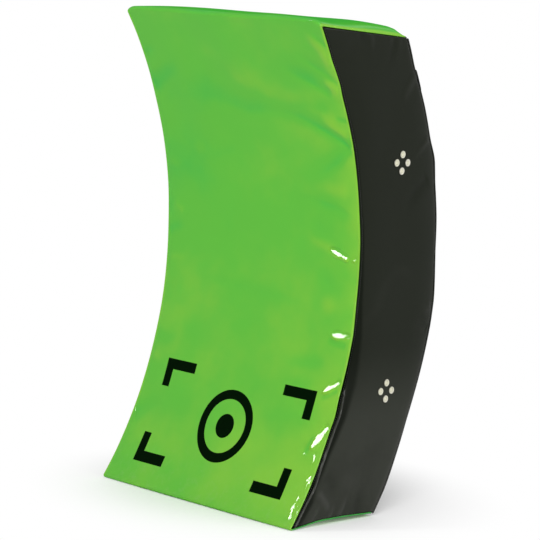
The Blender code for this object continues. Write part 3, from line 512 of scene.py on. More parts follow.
def addMesh(name, mesh, material, uv=None, paintedTones=None):  # a mesh object from arrays of points and faces, with its UV and its painted light and shade if given
    points, faces = mesh[0].reshape(-1, 3), mesh[1]
    data = bpy.data.meshes.new(name)
    data.vertices.add(len(points))
    data.vertices.foreach_set("co", points.astype(np.float32).ravel())
    corners = np.concatenate([group.ravel() for group in faces])
    sizes = np.concatenate([np.full(len(group), group.shape[1]) for group in faces])
    data.loops.add(len(corners))
    data.loops.foreach_set("vertex_index", corners.astype(np.int32))
    data.polygons.add(len(sizes))
    data.polygons.foreach_set("loop_start", (np.cumsum(sizes) - sizes).astype(np.int32))
    data.update(calc_edges=True)
    if uv is not None:
        layer = data.uv_layers.new(name="clothUv")
        layer.data.foreach_set("uv", uv.reshape(-1, 2)[corners].astype(np.float32).ravel())
    if paintedTones is not None:
        attribute = data.attributes.new("paintedShading", "FLOAT", "POINT")
        attribute.data.foreach_set("value", paintedTones.astype(np.float32).ravel())
    data.materials.append(material)
    data.shade_smooth()
    piece = bpy.data.objects.new(name, data)
    bpy.context.scene.collection.objects.link(piece)
    return piece


def addSolid(name, mesh, material, body, node, uv=None, paintedTones=None):  # a closed piece that stands for a node
    return settle(addMesh(name, outward(*mesh), material, uv, paintedTones), body, node)


def addSheet(name, mesh, material, node, sheet, paintedTones=None):  # an open sheet on the shield, with a wall behind it
    piece = addMesh(name, mesh, material, paintedTones=paintedTones)
    wall = piece.modifiers.new("wall", "SOLIDIFY")
    wall.thickness, wall.offset = sheet, -1
    return settle(piece, "shield", node)


def settle(piece, body, node):  # where a piece rides, and the node it stands for hidden
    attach(piece, body)
    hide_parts(node)
    return piece


def addThread(name, runs, body="shield"):  # runs of stitches as one piece, which has no node
    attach(addMesh(name, outward(*joined(runs)), blackThread), body)


def alongNormal(surface, a, b, step):  # points and outward directions of a surface of a and b
    wayA = surface(a + step, b) - surface(a - step, b)
    wayB = surface(a, b + step) - surface(a, b - step)
    return surface(a, b), unit(np.cross(wayA, wayB))


stitch = Facts(pitch=0.0034, length=0.0027, radius=0.00034, sides=5, stations=5, taper=0.8, sink=1.9)


def stitchRun(line, normals, pitch=stitch.pitch, length=stitch.length):  # a thread bump every pitch
    run = lengthAlong(line)
    count = max(int(run[-1] / pitch), 1)
    centres = (np.arange(count) + 0.5) * run[-1] / count
    way = unit(pointsAt(line, np.minimum(centres + length / 2, run[-1]))
               - pointsAt(line, np.maximum(centres - length / 2, 0)))
    out = readAt(normals, run, centres)
    out = unit(out - way * (out * way).sum(1)[:, None])
    around, stations, radius = stitch.sides, stitch.stations, stitch.radius
    t = np.linspace(-1, 1, stations)
    size = radius * np.sqrt(1 - stitch.taper * t ** 4)
    lift = radius * (0.75 - stitch.sink * t ** 4)  # the ends are sunk in the cloth
    angle = circle(around)
    middle, way, out, side = (row[:, None, None] for row in (pointsAt(line, centres), way, out, np.cross(way, out)))
    rings = (middle + way * (t * length / 2)[None, :, None, None]
             + out * (lift[:, None] + size[:, None] * np.sin(angle))[None, :, :, None]
             + side * (size[:, None] * np.cos(angle))[None, :, :, None])
    low = np.arange(around)
    start = (np.arange(count) * around * stations)[:, None, None]
    groups = (gridFaces(stations, around, False, True), low[::-1][None], (low + (stations - 1) * around)[None])
    return rings.reshape(-1, 3), [(group[None] + start).reshape(-1, group.shape[1]) for group in groups]


# Materials

def feed(tree, socket, value):  # a socket takes a value, or a link from another socket
    if isinstance(value, bpy.types.NodeSocket):
        tree.links.new(value, socket)
    else:
        socket.default_value = value


def place(tree, kind, values=None, **settings):  # a node, its inputs set or linked
    node = tree.nodes.new("ShaderNode" + kind)
    for key, value in settings.items():
        setattr(node, key, value)
    for key, value in (values or {}).items():
        feed(tree, node.inputs[key], value)
    return node


def calc(tree, operation, first, second=0.0, third=0.0):  # one sum on numbers
    return place(tree, "Math", {0: first, 1: second, 2: third}, operation=operation).outputs[0]


def scaled(tree, value, by, more=None):  # value times by, and more added
    return calc(tree, "MULTIPLY", value, by) if more is None else calc(tree, "MULTIPLY_ADD", value, by, more)


def ramp(tree, value, low, high, toLow=0.0, toHigh=1.0):  # an S from toLow to toHigh over low to high
    values = {"Value": value, "From Min": low, "From Max": high, "To Min": toLow, "To Max": toHigh}
    return place(tree, "MapRange", values, interpolation_type="SMOOTHSTEP").outputs["Result"]


def noise(tree, at, scale, detail=2.0, roughness=0.5, distortion=0.0):  # cloudy noise about a half
    values = {"Vector": at, "Scale": scale, "Detail": detail, "Roughness": roughness, "Distortion": distortion}
    return place(tree, "TexNoise", values).outputs["Fac"]


def axes(tree, at):  # a place split into X, Y and Z
    return place(tree, "SeparateXYZ", {0: at}).outputs


def layered(tree, colour, *layers):  # each colour goes over the ones before it by its share
    for share, over in layers:
        colour = place(tree, "Mix", {"Factor": share, 6: colour, 7: over}, data_type="RGBA").outputs[2]
    return colour


def newGroup(name, inputs, outputs):  # a group; an input without a default is a place
    group = bpy.data.node_groups.new(name, "ShaderNodeTree")
    for label, value in inputs.items():
        kind = "NodeSocketVector" if value is None else "NodeSocketFloat"
        socket = group.interface.new_socket(label, in_out="INPUT", socket_type=kind)
        if value is not None:
            socket.default_value = value
    for label in outputs:
        group.interface.new_socket(label, in_out="OUTPUT", socket_type="NodeSocketFloat")
    return group, group.nodes.new("NodeGroupInput").outputs, group.nodes.new("NodeGroupOutput").inputs


def useGroup(tree, group, values):  # a group's outputs for these inputs
    return place(tree, "Group", values, node_tree=group).outputs


def vinylGrainGroup():  # pressed grain: rounded cells with pits, and a slow change of gloss
    group, given, made = newGroup("vinylGrain", {"Place": None, "Cells": 900.0}, ("Height", "Sheen"))
    cells = place(group, "TexVoronoi", {"Vector": given["Place"], "Scale": given["Cells"]},
                  feature="SMOOTH_F1").outputs["Distance"]
    pits = scaled(group, noise(group, given["Place"], 2600.0), 0.35)
    feed(group, made["Height"], scaled(group, cells, 0.7, pits))
    feed(group, made["Sheen"], ramp(group, noise(group, given["Place"], 16.0, 4.0, 0.6), 0.3, 0.7))
    return group


def handlingGroup():  # dust that lies low, and faint rubbed patches
    group, given, made = newGroup("handlingMarks", {"Place": None, "Low": 0.0, "High": 0.25}, ("Dust", "Rub"))
    span = {"Value": axes(group, given["Place"])["Z"], "From Min": given["Low"], "From Max": given["High"],
            "To Min": 1.0, "To Max": 0.0}
    low = place(group, "MapRange", span).outputs["Result"]
    specks = ramp(group, noise(group, given["Place"], 90.0, 8.0, 0.7), 0.45, 0.75)
    feed(group, made["Dust"], scaled(group, low, specks))
    feed(group, made["Rub"], ramp(group, noise(group, given["Place"], 7.0, 5.0, distortion=0.8), 0.52, 0.72))
    return group


def weaveGroup():  # a woven band's ribs: two sets of sines, one shifted half a thread each row, and painted shade between them
    group, given, made = newGroup("weave", {"Across": 0.0, "Along": 0.0, "Thread": 0.0016}, ("Height", "Shade"))

    def rib(value, power):  # a round rib for each whole number
        sine = calc(group, "SINE", scaled(group, value, pi))
        return calc(group, "POWER", calc(group, "ABSOLUTE", sine), power)

    u, v = (calc(group, "DIVIDE", given[label], given["Thread"]) for label in ("Across", "Along"))
    odd = calc(group, "FLOORED_MODULO", calc(group, "FLOOR", v), 2.0)
    height = scaled(group, rib(scaled(group, odd, 0.5, u), 0.6), rib(v, 0.5))
    feed(group, made["Height"], height)
    feed(group, made["Shade"], ramp(group, height, 0.2, 0.9))
    return group


def boxGroup():  # distance outside a flat rectangle, below zero within it
    labels = ("X", "Z", "MiddleX", "MiddleZ", "HalfX", "HalfZ")
    group, given, made = newGroup("printedBar", dict.fromkeys(labels, 0.0), ("Distance",))
    sides = []
    for letter in "XZ":
        off = calc(group, "ABSOLUTE", calc(group, "SUBTRACT", given[letter], given["Middle" + letter]))
        sides.append(calc(group, "SUBTRACT", off, given["Half" + letter]))
    feed(group, made["Distance"], calc(group, "MAXIMUM", *sides))
    return group


vinylGrain, handlingMarks, weave, printedBar = vinylGrainGroup(), handlingGroup(), weaveGroup(), boxGroup()


def startMaterial(name):  # a material, its tree and the coordinates that it reads
    material = bpy.data.materials.new(name)
    material.use_nodes = True
    return material, material.node_tree, place(material.node_tree, "TexCoord").outputs


def paintedShadingOf(tree):  # the painted light and shade stored in a mesh's points
    return place(tree, "Attribute", attribute_name="paintedShading").outputs["Fac"]


def finished(material, inputs, *bump):  # the shader's inputs, and a bump: height, distance, strength
    tree = material.node_tree
    shader = tree.nodes["Principled BSDF"]
    if bump:
        values = dict(zip(("Height", "Distance", "Strength"), bump))
        inputs["Normal"] = place(tree, "Bump", values).outputs["Normal"]
    for label, value in inputs.items():
        feed(tree, shader.inputs[label], value)
    return material


mark = Facts(  # generic print on the lower strike face: a ring and a dot between four brackets
    x=0.002, z=0.122, halfWidth=0.17, halfHeight=0.084, bar=0.017, armX=0.068, armZ=0.046, ring=0.05,
    ringHalf=0.0075, dot=0.019, ragged=0.0003, soft=0.0002, ink=(0.0002, 0.0052, 0.0003, 1),
)


def markMask(tree, at):  # 1 on the ink: the nearest of a ring, a dot and the brackets' bars
    spot = axes(tree, at)
    x, z = (calc(tree, "ABSOLUTE", calc(tree, "SUBTRACT", spot[letter], mark[letter.lower()])) for letter in "XZ")
    half = mark.bar / 2
    away = calc(tree, "SQRT", scaled(tree, x, x, scaled(tree, z, z)))
    ring = calc(tree, "ABSOLUTE", calc(tree, "SUBTRACT", away, mark.ring))
    nearest = calc(tree, "MINIMUM", calc(tree, "SUBTRACT", ring, mark.ringHalf),
                   calc(tree, "SUBTRACT", away, mark.dot))
    for halfX, halfZ in ((mark.armX / 2, half), (half, mark.armZ / 2)):
        values = {"X": x, "Z": z, "MiddleX": mark.halfWidth - halfX, "MiddleZ": mark.halfHeight - halfZ,
                  "HalfX": halfX, "HalfZ": halfZ}
        nearest = calc(tree, "MINIMUM", nearest, useGroup(tree, printedBar, values)["Distance"])
    rough = calc(tree, "SUBTRACT", noise(tree, at, 700.0), 0.5)
    return ramp(tree, scaled(tree, rough, mark.ragged, nearest), mark.soft, -mark.soft)


greenLook = Facts(  # slopes and rises: heights from and to, and the painted light's drift at each, lighter to the right and lower down; shade, deep and light are painted shade, deeper painted shade and painted light, which the random cloud also uses
    base=(0.088, 0.412, 0.03, 1), shade=(0.042, 0.388, 0.042, 1), light=(0.175, 0.45, 0.03, 1),
    deep=(0.022, 0.19, 0.05, 1), dust=(0.26, 0.4, 0.16, 1), dustShare=0.18, dustHigh=0.1, grain=1100.0,
    grainDepth=0.1, toneGain=480.0, cloud=9.0, cloudGain=1.1,
    slopes=((0.66, 0.76, 1.3, -0.1), (0.47, 0.3, 0.0, -0.7)),
    rises=((0.47, 0.27, 0.02, 0.23), (0.2, 0.06, 0.0, 0.1)), roughness=0.38, sheen=0.06, rub=0.05,
    inkRoughness=0.05, specular=0.0, coat=0.45, inkCoat=-0.42, coatFrom=0.78, coatTo=0.45, coatRoughness=0.05,
)


def greenVinylMaterial():  # greens by painted light and shade from the folds and seams, a random cloud, and a painted light drift up and across
    look = greenLook
    material, tree, where = startMaterial("greenVinyl")
    at = where["Object"]
    grain = useGroup(tree, vinylGrain, {"Place": at, "Cells": look.grain})
    marks = useGroup(tree, handlingMarks, {"Place": at, "High": look.dustHigh})
    spot = axes(tree, at)
    slope, rise = (calc(tree, "ADD", *(ramp(tree, spot["Z"], *span) for span in look[key]))
                   for key in ("slopes", "rises"))
    cloud = scaled(tree, noise(tree, at, look.cloud, 3.0), look.cloudGain, -look.cloudGain / 2)
    total = calc(tree, "ADD", scaled(tree, paintedShadingOf(tree), look.toneGain), cloud)
    # painted light: lighter to the right and lower down
    total = calc(tree, "ADD", total, scaled(tree, spot["X"], slope, rise))
    ink = markMask(tree, at)
    colour = layered(tree, look.base, (ramp(tree, total, 0.0, -0.7), look.shade),
                     (ramp(tree, total, -1.2, -2.4), look.deep), (ramp(tree, total, 0.0, 0.7), look.light),
                     (scaled(tree, marks["Dust"], look.dustShare), look.dust), (ink, mark.ink))
    gloss = scaled(tree, grain["Sheen"], look.sheen, look.roughness)
    gloss = scaled(tree, marks["Rub"], look.rub, gloss)
    facing = place(tree, "LayerWeight", {"Blend": 0.5}).outputs["Facing"]
    coat = scaled(tree, ink, look.inkCoat, look.coat)
    return finished(material, {
        "Base Color": colour, "Roughness": scaled(tree, ink, look.inkRoughness, gloss),
        "Specular IOR Level": look.specular, "Coat Roughness": look.coatRoughness,
        "Coat Weight": scaled(tree, coat, ramp(tree, facing, look.coatFrom, look.coatTo)),
    }, grain["Height"], 0.0002, look.grainDepth)


# low: painted sheen, lighter lower down; seam: painted shade beside the front seam; rim: painted highlight on the low
# crest and the panels' side edges
blackLook = Facts(
    base=(0.0075, 0.0098, 0.005, 1), worn=(0.014, 0.016, 0.011, 1), dust=(0.06, 0.06, 0.048, 1),
    low=(0.0241, 0.0268, 0.0201, 1), seam=(0.001, 0.0022, 0.0008, 1), rim=(0.05, 0.051, 0.045, 1), lowFrom=0.29,
    lowTo=0.14, wornShare=0.35, dustShare=0.1, dustHigh=0.16, roughness=0.42, sheen=0.08, rub=0.06, specular=0.0,
    coat=0.26, seamCoat=-0.95, coatRoughness=0.11,
)


def blackVinylMaterial(name, cells, depth):  # painted sheen lower down, paler where rubbed, and the mesh's painted shade and painted highlights
    look = blackLook
    material, tree, where = startMaterial(name)
    at = where["Object"]
    grain = useGroup(tree, vinylGrain, {"Place": at, "Cells": cells})
    marks = useGroup(tree, handlingMarks, {"Place": at, "High": look.dustHigh})
    paintedTone = paintedShadingOf(tree)
    colour = layered(tree, look.base, (ramp(tree, axes(tree, at)["Z"], look.lowFrom, look.lowTo), look.low),
                     (scaled(tree, marks["Rub"], look.wornShare), look.worn),
                     (scaled(tree, marks["Dust"], look.dustShare), look.dust),
                     (paintedTone, look.seam), (scaled(tree, paintedTone, -1.0), look.rim))
    gloss = scaled(tree, grain["Sheen"], look.sheen, look.roughness)
    dark = calc(tree, "MAXIMUM", paintedTone, 0.0)
    return finished(material, {
        "Base Color": colour, "Roughness": scaled(tree, marks["Rub"], look.rub, gloss),
        "Coat Weight": scaled(tree, dark, look.seamCoat * look.coat, look.coat),
        "Specular IOR Level": look.specular, "Coat Roughness": look.coatRoughness,
    }, grain["Height"], 0.0003, depth)


foamLook = Facts(
    pit=(0.47, 0.455, 0.33, 1), wall=(0.62, 0.61, 0.47, 1), cloud=(0.56, 0.53, 0.38, 1), cells=800.0,
)


def foamMaterial():  # open cells: painted shade in the pits between pale walls
    material, tree, where = startMaterial("creamFoam")
    at = where["Object"]
    cells = place(tree, "TexVoronoi", {"Vector": at, "Scale": foamLook.cells}).outputs["Distance"]
    cloud = scaled(tree, noise(tree, at, 25.0, 3.0), 0.3)
    colour = layered(tree, foamLook.pit, (ramp(tree, cells, 0.0, 0.7), foamLook.wall), (cloud, foamLook.cloud))
    return finished(material, {"Base Color": colour, "Roughness": ramp(tree, cells, 0.0, 0.8, 0.95, 0.8)},
                    cells, 0.0006, 0.5)


ivoryLook = Facts(
    base=(0.5, 0.495, 0.37, 1), pale=(0.57, 0.565, 0.45, 1), batch=(0.545, 0.515, 0.455, 1),
    chip=(0.3, 0.28, 0.22, 1), grime=(0.05, 0.045, 0.03, 1), roughness=0.28, coat=0.15,
)


def ivoryMaterial():  # baked enamel, chipped where the setting tool pressed, with painted shade at the flange's rim
    look = ivoryLook
    material, tree, where = startMaterial("ivoryEnamel")
    at = where["Object"]
    flaw = ramp(tree, noise(tree, at, 900.0, 4.0), 0.68, 0.74)
    cloud = noise(tree, at, 150.0)
    colour = layered(tree, look.base, (cloud, look.pale),
                     (ramp(tree, noise(tree, at, 40.0), 0.4, 0.62, 0.0, 0.7), look.batch),
                     (scaled(tree, flaw, 0.6), look.chip), (paintedShadingOf(tree), look.grime))
    return finished(material, {"Base Color": colour, "Coat Weight": look.coat,
                               "Roughness": scaled(tree, flaw, 0.3, look.roughness)},
                    cloud, 0.0002, 0.2)


webbingLook = Facts(colour=(0.02, 0.02, 0.021), lint=(0.06, 0.06, 0.06, 1), thread=0.0017, roughness=0.62, depth=0.0004)
tapeLook = Facts(colour=(0.016, 0.016, 0.017), lint=(0.05, 0.05, 0.05, 1), thread=0.0007, roughness=0.75, depth=0.0002)


def wovenMaterial(name, look):  # a woven band read from its own UV, in metres, with painted shade between its ribs
    material, tree, where = startMaterial(name)
    spot = axes(tree, where["UV"])
    woven = useGroup(tree, weave, {"Across": spot["Y"], "Along": spot["X"], "Thread": look.thread})
    lint = noise(tree, where["Object"], 1500.0, 3.0)
    colour = layered(tree, (*(part * 0.45 for part in look.colour), 1), (woven["Shade"], (*look.colour, 1)),
                     (ramp(tree, lint, 0.6, 0.8, 0.0, 0.5), look.lint))
    return finished(material, {"Base Color": colour, "Sheen Weight": 0.12, "Sheen Roughness": 0.4,
                               "Roughness": scaled(tree, lint, 0.15, look.roughness - 0.08)},
                    woven["Height"], look.depth, 0.8)


nylonLook = Facts(dark=(0.014, 0.014, 0.014, 1), pale=(0.03, 0.03, 0.03, 1), roughness=(0.26, 0.38))
nickelLook = Facts(dark=(0.5, 0.49, 0.47, 1), pale=(0.66, 0.65, 0.63, 1), roughness=(0.2, 0.34))
threadLook = Facts(dark=(0.012, 0.012, 0.012, 1), pale=(0.055, 0.055, 0.052, 1), roughness=(0.6, 0.4))


def nylonMaterial():  # drawn wire: a faint cloud in colour and gloss
    material, tree, where = startMaterial("blackNylon")
    cloud = noise(tree, where["Object"], 300.0)
    return finished(material, {"Base Color": layered(tree, nylonLook.dark, (cloud, nylonLook.pale)),
                               "Roughness": ramp(tree, cloud, 0.3, 0.7, *nylonLook.roughness)})


def nickelMaterial():  # plated zinc: fine scratches and duller hollows
    material, tree, where = startMaterial("nickelPlate")
    scratches = {"Vector": where["Object"], "Scale": (120.0, 2600.0, 2600.0)}
    scratch = noise(tree, place(tree, "Mapping", scratches).outputs[0], 1.0, 4.0)
    cloud = noise(tree, where["Object"], 180.0, 3.0)
    return finished(material, {"Base Color": layered(tree, nickelLook.dark, (cloud, nickelLook.pale)),
                               "Roughness": ramp(tree, scratch, 0.3, 0.7, *nickelLook.roughness),
                               "Metallic": 1.0}, scratch, 0.0001, 0.15)


def threadMaterial():  # twisted thread: slanting bands round it
    material, tree, where = startMaterial("blackThread")
    twist = place(tree, "TexWave", {"Vector": where["Object"], "Scale": 900.0, "Distortion": 1.0},
                  bands_direction="DIAGONAL").outputs["Fac"]
    return finished(material, {"Base Color": layered(tree, threadLook.dark, (twist, threadLook.pale)),
                               "Roughness": ramp(tree, twist, 0.0, 1.0, *threadLook.roughness)},
                    twist, 0.0001, 0.4)


greenVinyl = greenVinylMaterial()
blackVinyl = blackVinylMaterial("blackVinyl", 760.0, 0.16)
patchVinyl = blackVinylMaterial("patchVinyl", 1000.0, 0.24)
creamFoam = foamMaterial()
ivoryEnamel = ivoryMaterial()
blackWebbing = wovenMaterial("blackWebbing", webbingLook)
blackTape = wovenMaterial("blackTape", tapeLook)
blackNylon = nylonMaterial()
nickelPlate = nickelMaterial()
blackThread = threadMaterial()
print("materials made")


# Green cover

coverMesh = Facts(  # spacing of the cover's points, fine where it puckers
    left=(-0.19, 0.0022), middle=(0.15, 0.0085), rightStep=0.0018, low=(0.46, 0.002), highStep=0.003,
    endStep=0.0065, rim=0.006, fold=0.04,
)


def coverColumns():  # stations across: even steps in each of three parts, and the lips
    flatHalf = halfWidth - lip.radius
    stops = ((-flatHalf, *coverMesh.left), (coverMesh.left[0], *coverMesh.middle),
             (coverMesh.middle[0], flatHalf, coverMesh.rightStep))
    parts = [np.linspace(low, high, int((high - low) / step) + 1)[:-1] for low, high, step in stops]
    return lipped(np.append(np.concatenate(parts), flatHalf))


def lipped(flat):  # a rolled lip at both ends, and how far each station sinks in it
    turn = np.radians(np.linspace(0, lip.turn, lip.steps + 1)[1:])
    out = flat[-1] + lip.radius * np.sin(turn)
    drop = lip.radius * (1 - np.cos(turn))
    return np.concatenate([-out[::-1], flat, out]), np.concatenate([drop[::-1], 0 * flat, drop])


def makeCover():  # one sheet of points, its rows fine over folds and puckers
    across, drops = coverColumns()
    rim, fold, step, length = coverMesh.rim, coverMesh.fold, coverMesh.endStep, coverRun[-1]
    lowEdge, highEdge = lowFoldRun - fold / 2, highFoldRun + fold / 2
    fineEnd = lowFoldRun + 1.06 * coverMesh.low[0]
    rows = np.concatenate([
        np.linspace(0, rim, 8)[:-1], np.arange(rim, lowEdge, step),
        np.linspace(lowEdge, lowEdge + fold, 20)[:-1], np.arange(lowEdge + fold, fineEnd, coverMesh.low[1]),
        np.linspace(fineEnd, highEdge - fold, int((highEdge - fold - fineEnd) / coverMesh.highStep))[:-1],
        np.linspace(highEdge - fold, highEdge, 20)[:-1], np.arange(highEdge, length - rim - 0.001, step),
        np.linspace(length - rim, length, 8),
    ])
    points, paintedTones = coverSurface(*np.meshgrid(across, rows), drops)
    piece = addSheet("greenCover", (points, [gridFaces(len(rows), len(across))]), greenVinyl, "green_cover",
                     shield.vinyl, paintedTones)
    return piece


print("cover made:", len(makeCover().data.vertices), "points")


# Black side panels with their vents

vents = Facts(
    offset=0.184, inset=0.1063, halfDiagonal=0.0132, bore=0.00315, wall=0.0005, flange=0.00625, rise=0.0013,
    washer=0.0058, patchHalf=0.023, patchSheet=0.001, cut=0.0044, zone=0.024, segments=40,
)
sideFolds = [  # in mm: y and z of each crease, widths left and right and height; then its fades
    ([(-70, 783), (-65.5, 768), (-63, 742)], (6, 4.5), 1.1, (0.02, 0.7)),
    ([(-93, 782), (-90, 760)], (5, 5), -0.9, (0.02, 0.8)),
    ([(-10, 772), (-15, 745), (-30, 715)], (9, 9), -1, (0.02, 0.7)),
    ([(50, 712), (38.1, 705.3), (23, 685), (16, 660)], (7, 5), 1.6, (0.1, 0.7)),
    ([(87, 612), (70, 597), (47, 573)], (5, 4), 1.4, (0.05, 0.7)),
    ([(91.5, 548), (65, 530), (30, 491)], (13, 10), -1.3, (0.05, 0.6)),
    ([(125, 338), (110, 333), (85, 345)], (7, 8), 1.1, (0.05, 0.7)),
    ([(120, 300), (100, 310), (80, 308)], (7, 8), -1, (0.05, 0.7)),
    ([(105, 182), (85, 190), (60, 183)], (8, 8), 0.9, (0.05, 0.7)),
    ([(-140, 2), (-134.4, 6.2), (-119.8, 23.7), (-108, 40)], (4, 4), 1.5, (0.05, 0.5)),
    ([(-70, 6), (-62, 22), (-48, 50)], (4.5, 4.5), 1.9, (0.05, 0.7)),
    ([(-96, 4), (-88, 14), (-76, 36)], (3.5, 3.5), 1.6, (0.05, 0.6)),
    ([(-62, 40), (-50, 66), (-40, 100)], (20, 20), 0.8, (0.4, 0.6)),
    ([(-122, 58), (-113, 47), (-99.7, 32.5), (-90, 18)], (5.5, 5.5), 2.6, (0.2, 0.3)),
    ([(-25, 6), (-23, 30), (-28, 60)], (9, 9), -1, (0.05, 0.7)),
    ([(-108, 85), (-90, 70), (-80, 40)], (12, 12), -0.9, (0.2, 0.5)),
]
sideShade = [  # height, and the reach and darkness of the painted shade band beside the front seam
    (0.0, 0.02, 0.6), (0.039, 0.024, 0.66), (0.061, 0.017, 0.6), (0.107, 0.017, 0.74), (0.168, 0.024, 0.7),
    (0.223, 0.026, 0.55), (0.287, 0.0195, 0.55), (0.352, 0.011, 0.5), (0.417, 0.0075, 0.46), (0.5, 0.0056, 0.42),
    (0.79, 0.005, 0.38),
]
backBulges = [  # in mm: height, and how far the back seam stands out there
    (0, 3), (45, 4), (100, 0), (150, -2), (182, -1), (235, 2), (310, 6), (350, 6.5), (400, 2.5), (430, 1),
    (482, 2.8), (540, 2.4), (580, 6.6), (612, 1), (660, 0.6), (700, -1.4), (726, -3), (755, 1), (780, 3.6),
]
sideCloth = Facts(  # waves: shortest, longest, count; gathers at each edge: seed step, size, height, reach
    seeds=(50, 60), broad=0.0009, broadWaves=(0.09, 0.22, 7), wander=0.0005, wanderWaves=(0.05, 0.16, 5),
    gathers=((1, 0.015, 0.0005, 0.011), (3, 0.019, 0.0008, 0.016), (5, 0.017, 0.0007, 0.014),
             (7, 0.017, 0.0007, 0.014)),
    low=(0.235, 0.07), crest=0.0078, crestMore=0.0032, crestUp=(0.06, 0.018), crestReach=0.0018, ridge=0.0019,
    dip=0.0003, lowDip=0.0011, dipAt=(-0.0042, 0.0024), behind=0.0009, behindAt=(0.0066, 0.0045),
    still=(0.019, 0.05), roll=0.0018, lowRoll=0.001, lowRollReach=0.0022, drawn=0.028,
)


def insetLine(low, high, count):  # the cover's line drawn inward to the side panel's seam
    place, out = onCover(np.linspace(low, high, count))
    return place - out * lip.inset


def backWobble(z):  # how far the back seam stands out there
    return interpolated(backBulges, z, 0.006)


def backEdge(z):  # the back seam: the back's arc drawn in by the inset, and its bulges
    return backY(z) - lip.inset / backCos(z) + backWobble(z)


def makeSideOutline():  # four edges that meet at the corners: base, top, front seam, back seam
    count, clear = 600, 0.0005
    lowZ = lip.inset + float(baseLift(np.array(halfWidth), backY(0.0)))
    lowY = float(backEdge(np.array(lowZ)))
    base = insetLine(0.0, lowFoldRun, count)[::-1]
    base[:, 1] += baseLift(np.array(halfWidth), base[:, 0])
    base = np.concatenate([base[base[:, 0] < lowY - clear], [[lowY, lowZ]]])
    top = insetLine(highFoldRun, coverRun[-1], count)
    highY = float(backEdge(np.array(topBack - lip.inset)))
    highZ = float(np.interp(highY, top[:500, 0], top[:500, 1]))
    top = np.concatenate([top[(top[:, 0] < highY - clear) & (np.arange(count) < 560)], [[highY, highZ]]])
    z = np.linspace(lowZ, highZ, 1600)
    back = np.stack([backEdge(z), z], -1)
    back[0], back[-1] = base[-1], top[-1]
    return base, top, insetLine(lowFoldRun, highFoldRun, 1600), back


sideBase, sideTop, sideFront, sideBack = makeSideOutline()
sideDeep, sideTall = 0.185, 0.86  # rough lengths of the panel's two ways, for its stations


def acrossSide(u, v):  # a point between the four edges, before it swells, and its way off each
    def share(line, t):  # places at a share of a line's length
        return pointsAt(line, t * lengthAlong(line)[-1])
    low, high, near, far = share(sideBase, u), share(sideTop, u), share(sideFront, v), share(sideBack, v)
    u, v = u[..., None], v[..., None]
    corners = ((1 - u) * (1 - v) * sideFront[0] + u * (1 - v) * sideBack[0] + (1 - u) * v * sideFront[-1]
               + u * v * sideBack[-1])
    flat = (1 - v) * low + v * high + (1 - u) * near + u * far - corners
    return flat, [np.linalg.norm(flat - edge, axis=-1) for edge in (near, far, low, high)]


def ventMiddle(level):  # y and z of the middle of four vents
    z = midHeight + level * vents.offset
    return np.array([frontY(z) + vents.inset, z])


def ventSpots(level):  # four spots in a diamond: top, front, back, bottom
    return ventMiddle(level) + vents.halfDiagonal * np.array([[0, 1], [-1, 0], [1, 0], [0, -1]])


def sideFace(y, z):  # how far out the plain swollen side lies
    return swell(halfWidth + 0 * y, y, z)[..., 0] - shield.seamStep


def rollDrop(off, radius):  # a quarter circle down to the seam
    inside = np.clip(radius - off, 0, radius)
    return radius - np.sqrt(radius ** 2 - inside ** 2)


def sideTone(z, near, far, crest, onCrest, folds):  # painted shade beside the front seam, painted highlights on the low crest and along the back edge, painted light and shade on the creases
    heights, reaches, depths = np.array(sideShade).T
    reach = np.interp(z, heights, reaches)
    shade = np.interp(z, heights, depths) * smooth(0.5 + (reach - near) / (0.5 * reach))
    shade = shade + 0.5 * falling(z, 0.36, 0.1) * smooth((crest - 0.0022 - near) / 0.0016)
    paintedHighlight = 0.9 * onCrest + (0.2 + 0.55 * falling(z, 0.3, 0.2)) * bell(far, 0.007)
    paintedHighlight = paintedHighlight + (80 + 120 * falling(z, 0.14, 0.08)) * folds
    return shade * (1 - onCrest) - paintedHighlight


def sideRelief(y, z, off, seed):  # waves, creases, gathers, and low down a crest between two dips
    cloth = sideCloth
    near, far, low, high = off
    folds = sum(stroke(y, z, *fold) for fold in sideFolds)
    broad = cloth.broad * waves(y, z, seed, *cloth.broadWaves)
    lowerHalf = falling(z, *cloth.low)
    wander = cloth.wander * waves(z, 0 * z, seed + 9, *cloth.wanderWaves)
    crest = cloth.crest + cloth.crestMore * hump(z, *cloth.crestUp) + wander
    onCrest = lowerHalf * bell(near - crest, cloth.crestReach)
    dip = -(cloth.dip + cloth.lowDip * lowerHalf) * hump(near - crest, *cloth.dipAt)
    behind = -cloth.behind * lowerHalf * hump(near - crest, *cloth.behindAt)
    seams = sum(gathers(along, edge, seed + step, *facts)
                for along, edge, (step, *facts) in zip((z, z, y, y), off, cloth.gathers))
    total = broad + folds + cloth.ridge * onCrest + dip + behind + seams
    for level, _ in levels:
        middle = ventMiddle(level)
        total = total * rising(np.hypot(y - middle[0], z - middle[1]), *cloth.still)
    edge = np.minimum(np.minimum(near, far), np.minimum(low, high))
    roll = rollDrop(edge, cloth.roll) + cloth.lowRoll * lowerHalf * bell(near, cloth.lowRollReach)
    return total * smooth(edge / 0.004) - roll, sideTone(z, near, far, crest, onCrest, folds)


def sidePoint(u, v, sign):  # the panel's surface and painted light and shade, on the right or left
    flat, off = acrossSide(u, v)
    y, z = flat[..., 0], flat[..., 1]
    drawn = pulled(z, sign) * np.exp(-(off[0] / sideCloth.drawn) ** 1.5)
    relief, paintedTone = sideRelief(y, z, off, sideCloth.seeds[0 if sign > 0 else 1])
    return np.stack([sign * (sideFace(y, z) + relief - drawn), y, z], -1), paintedTone


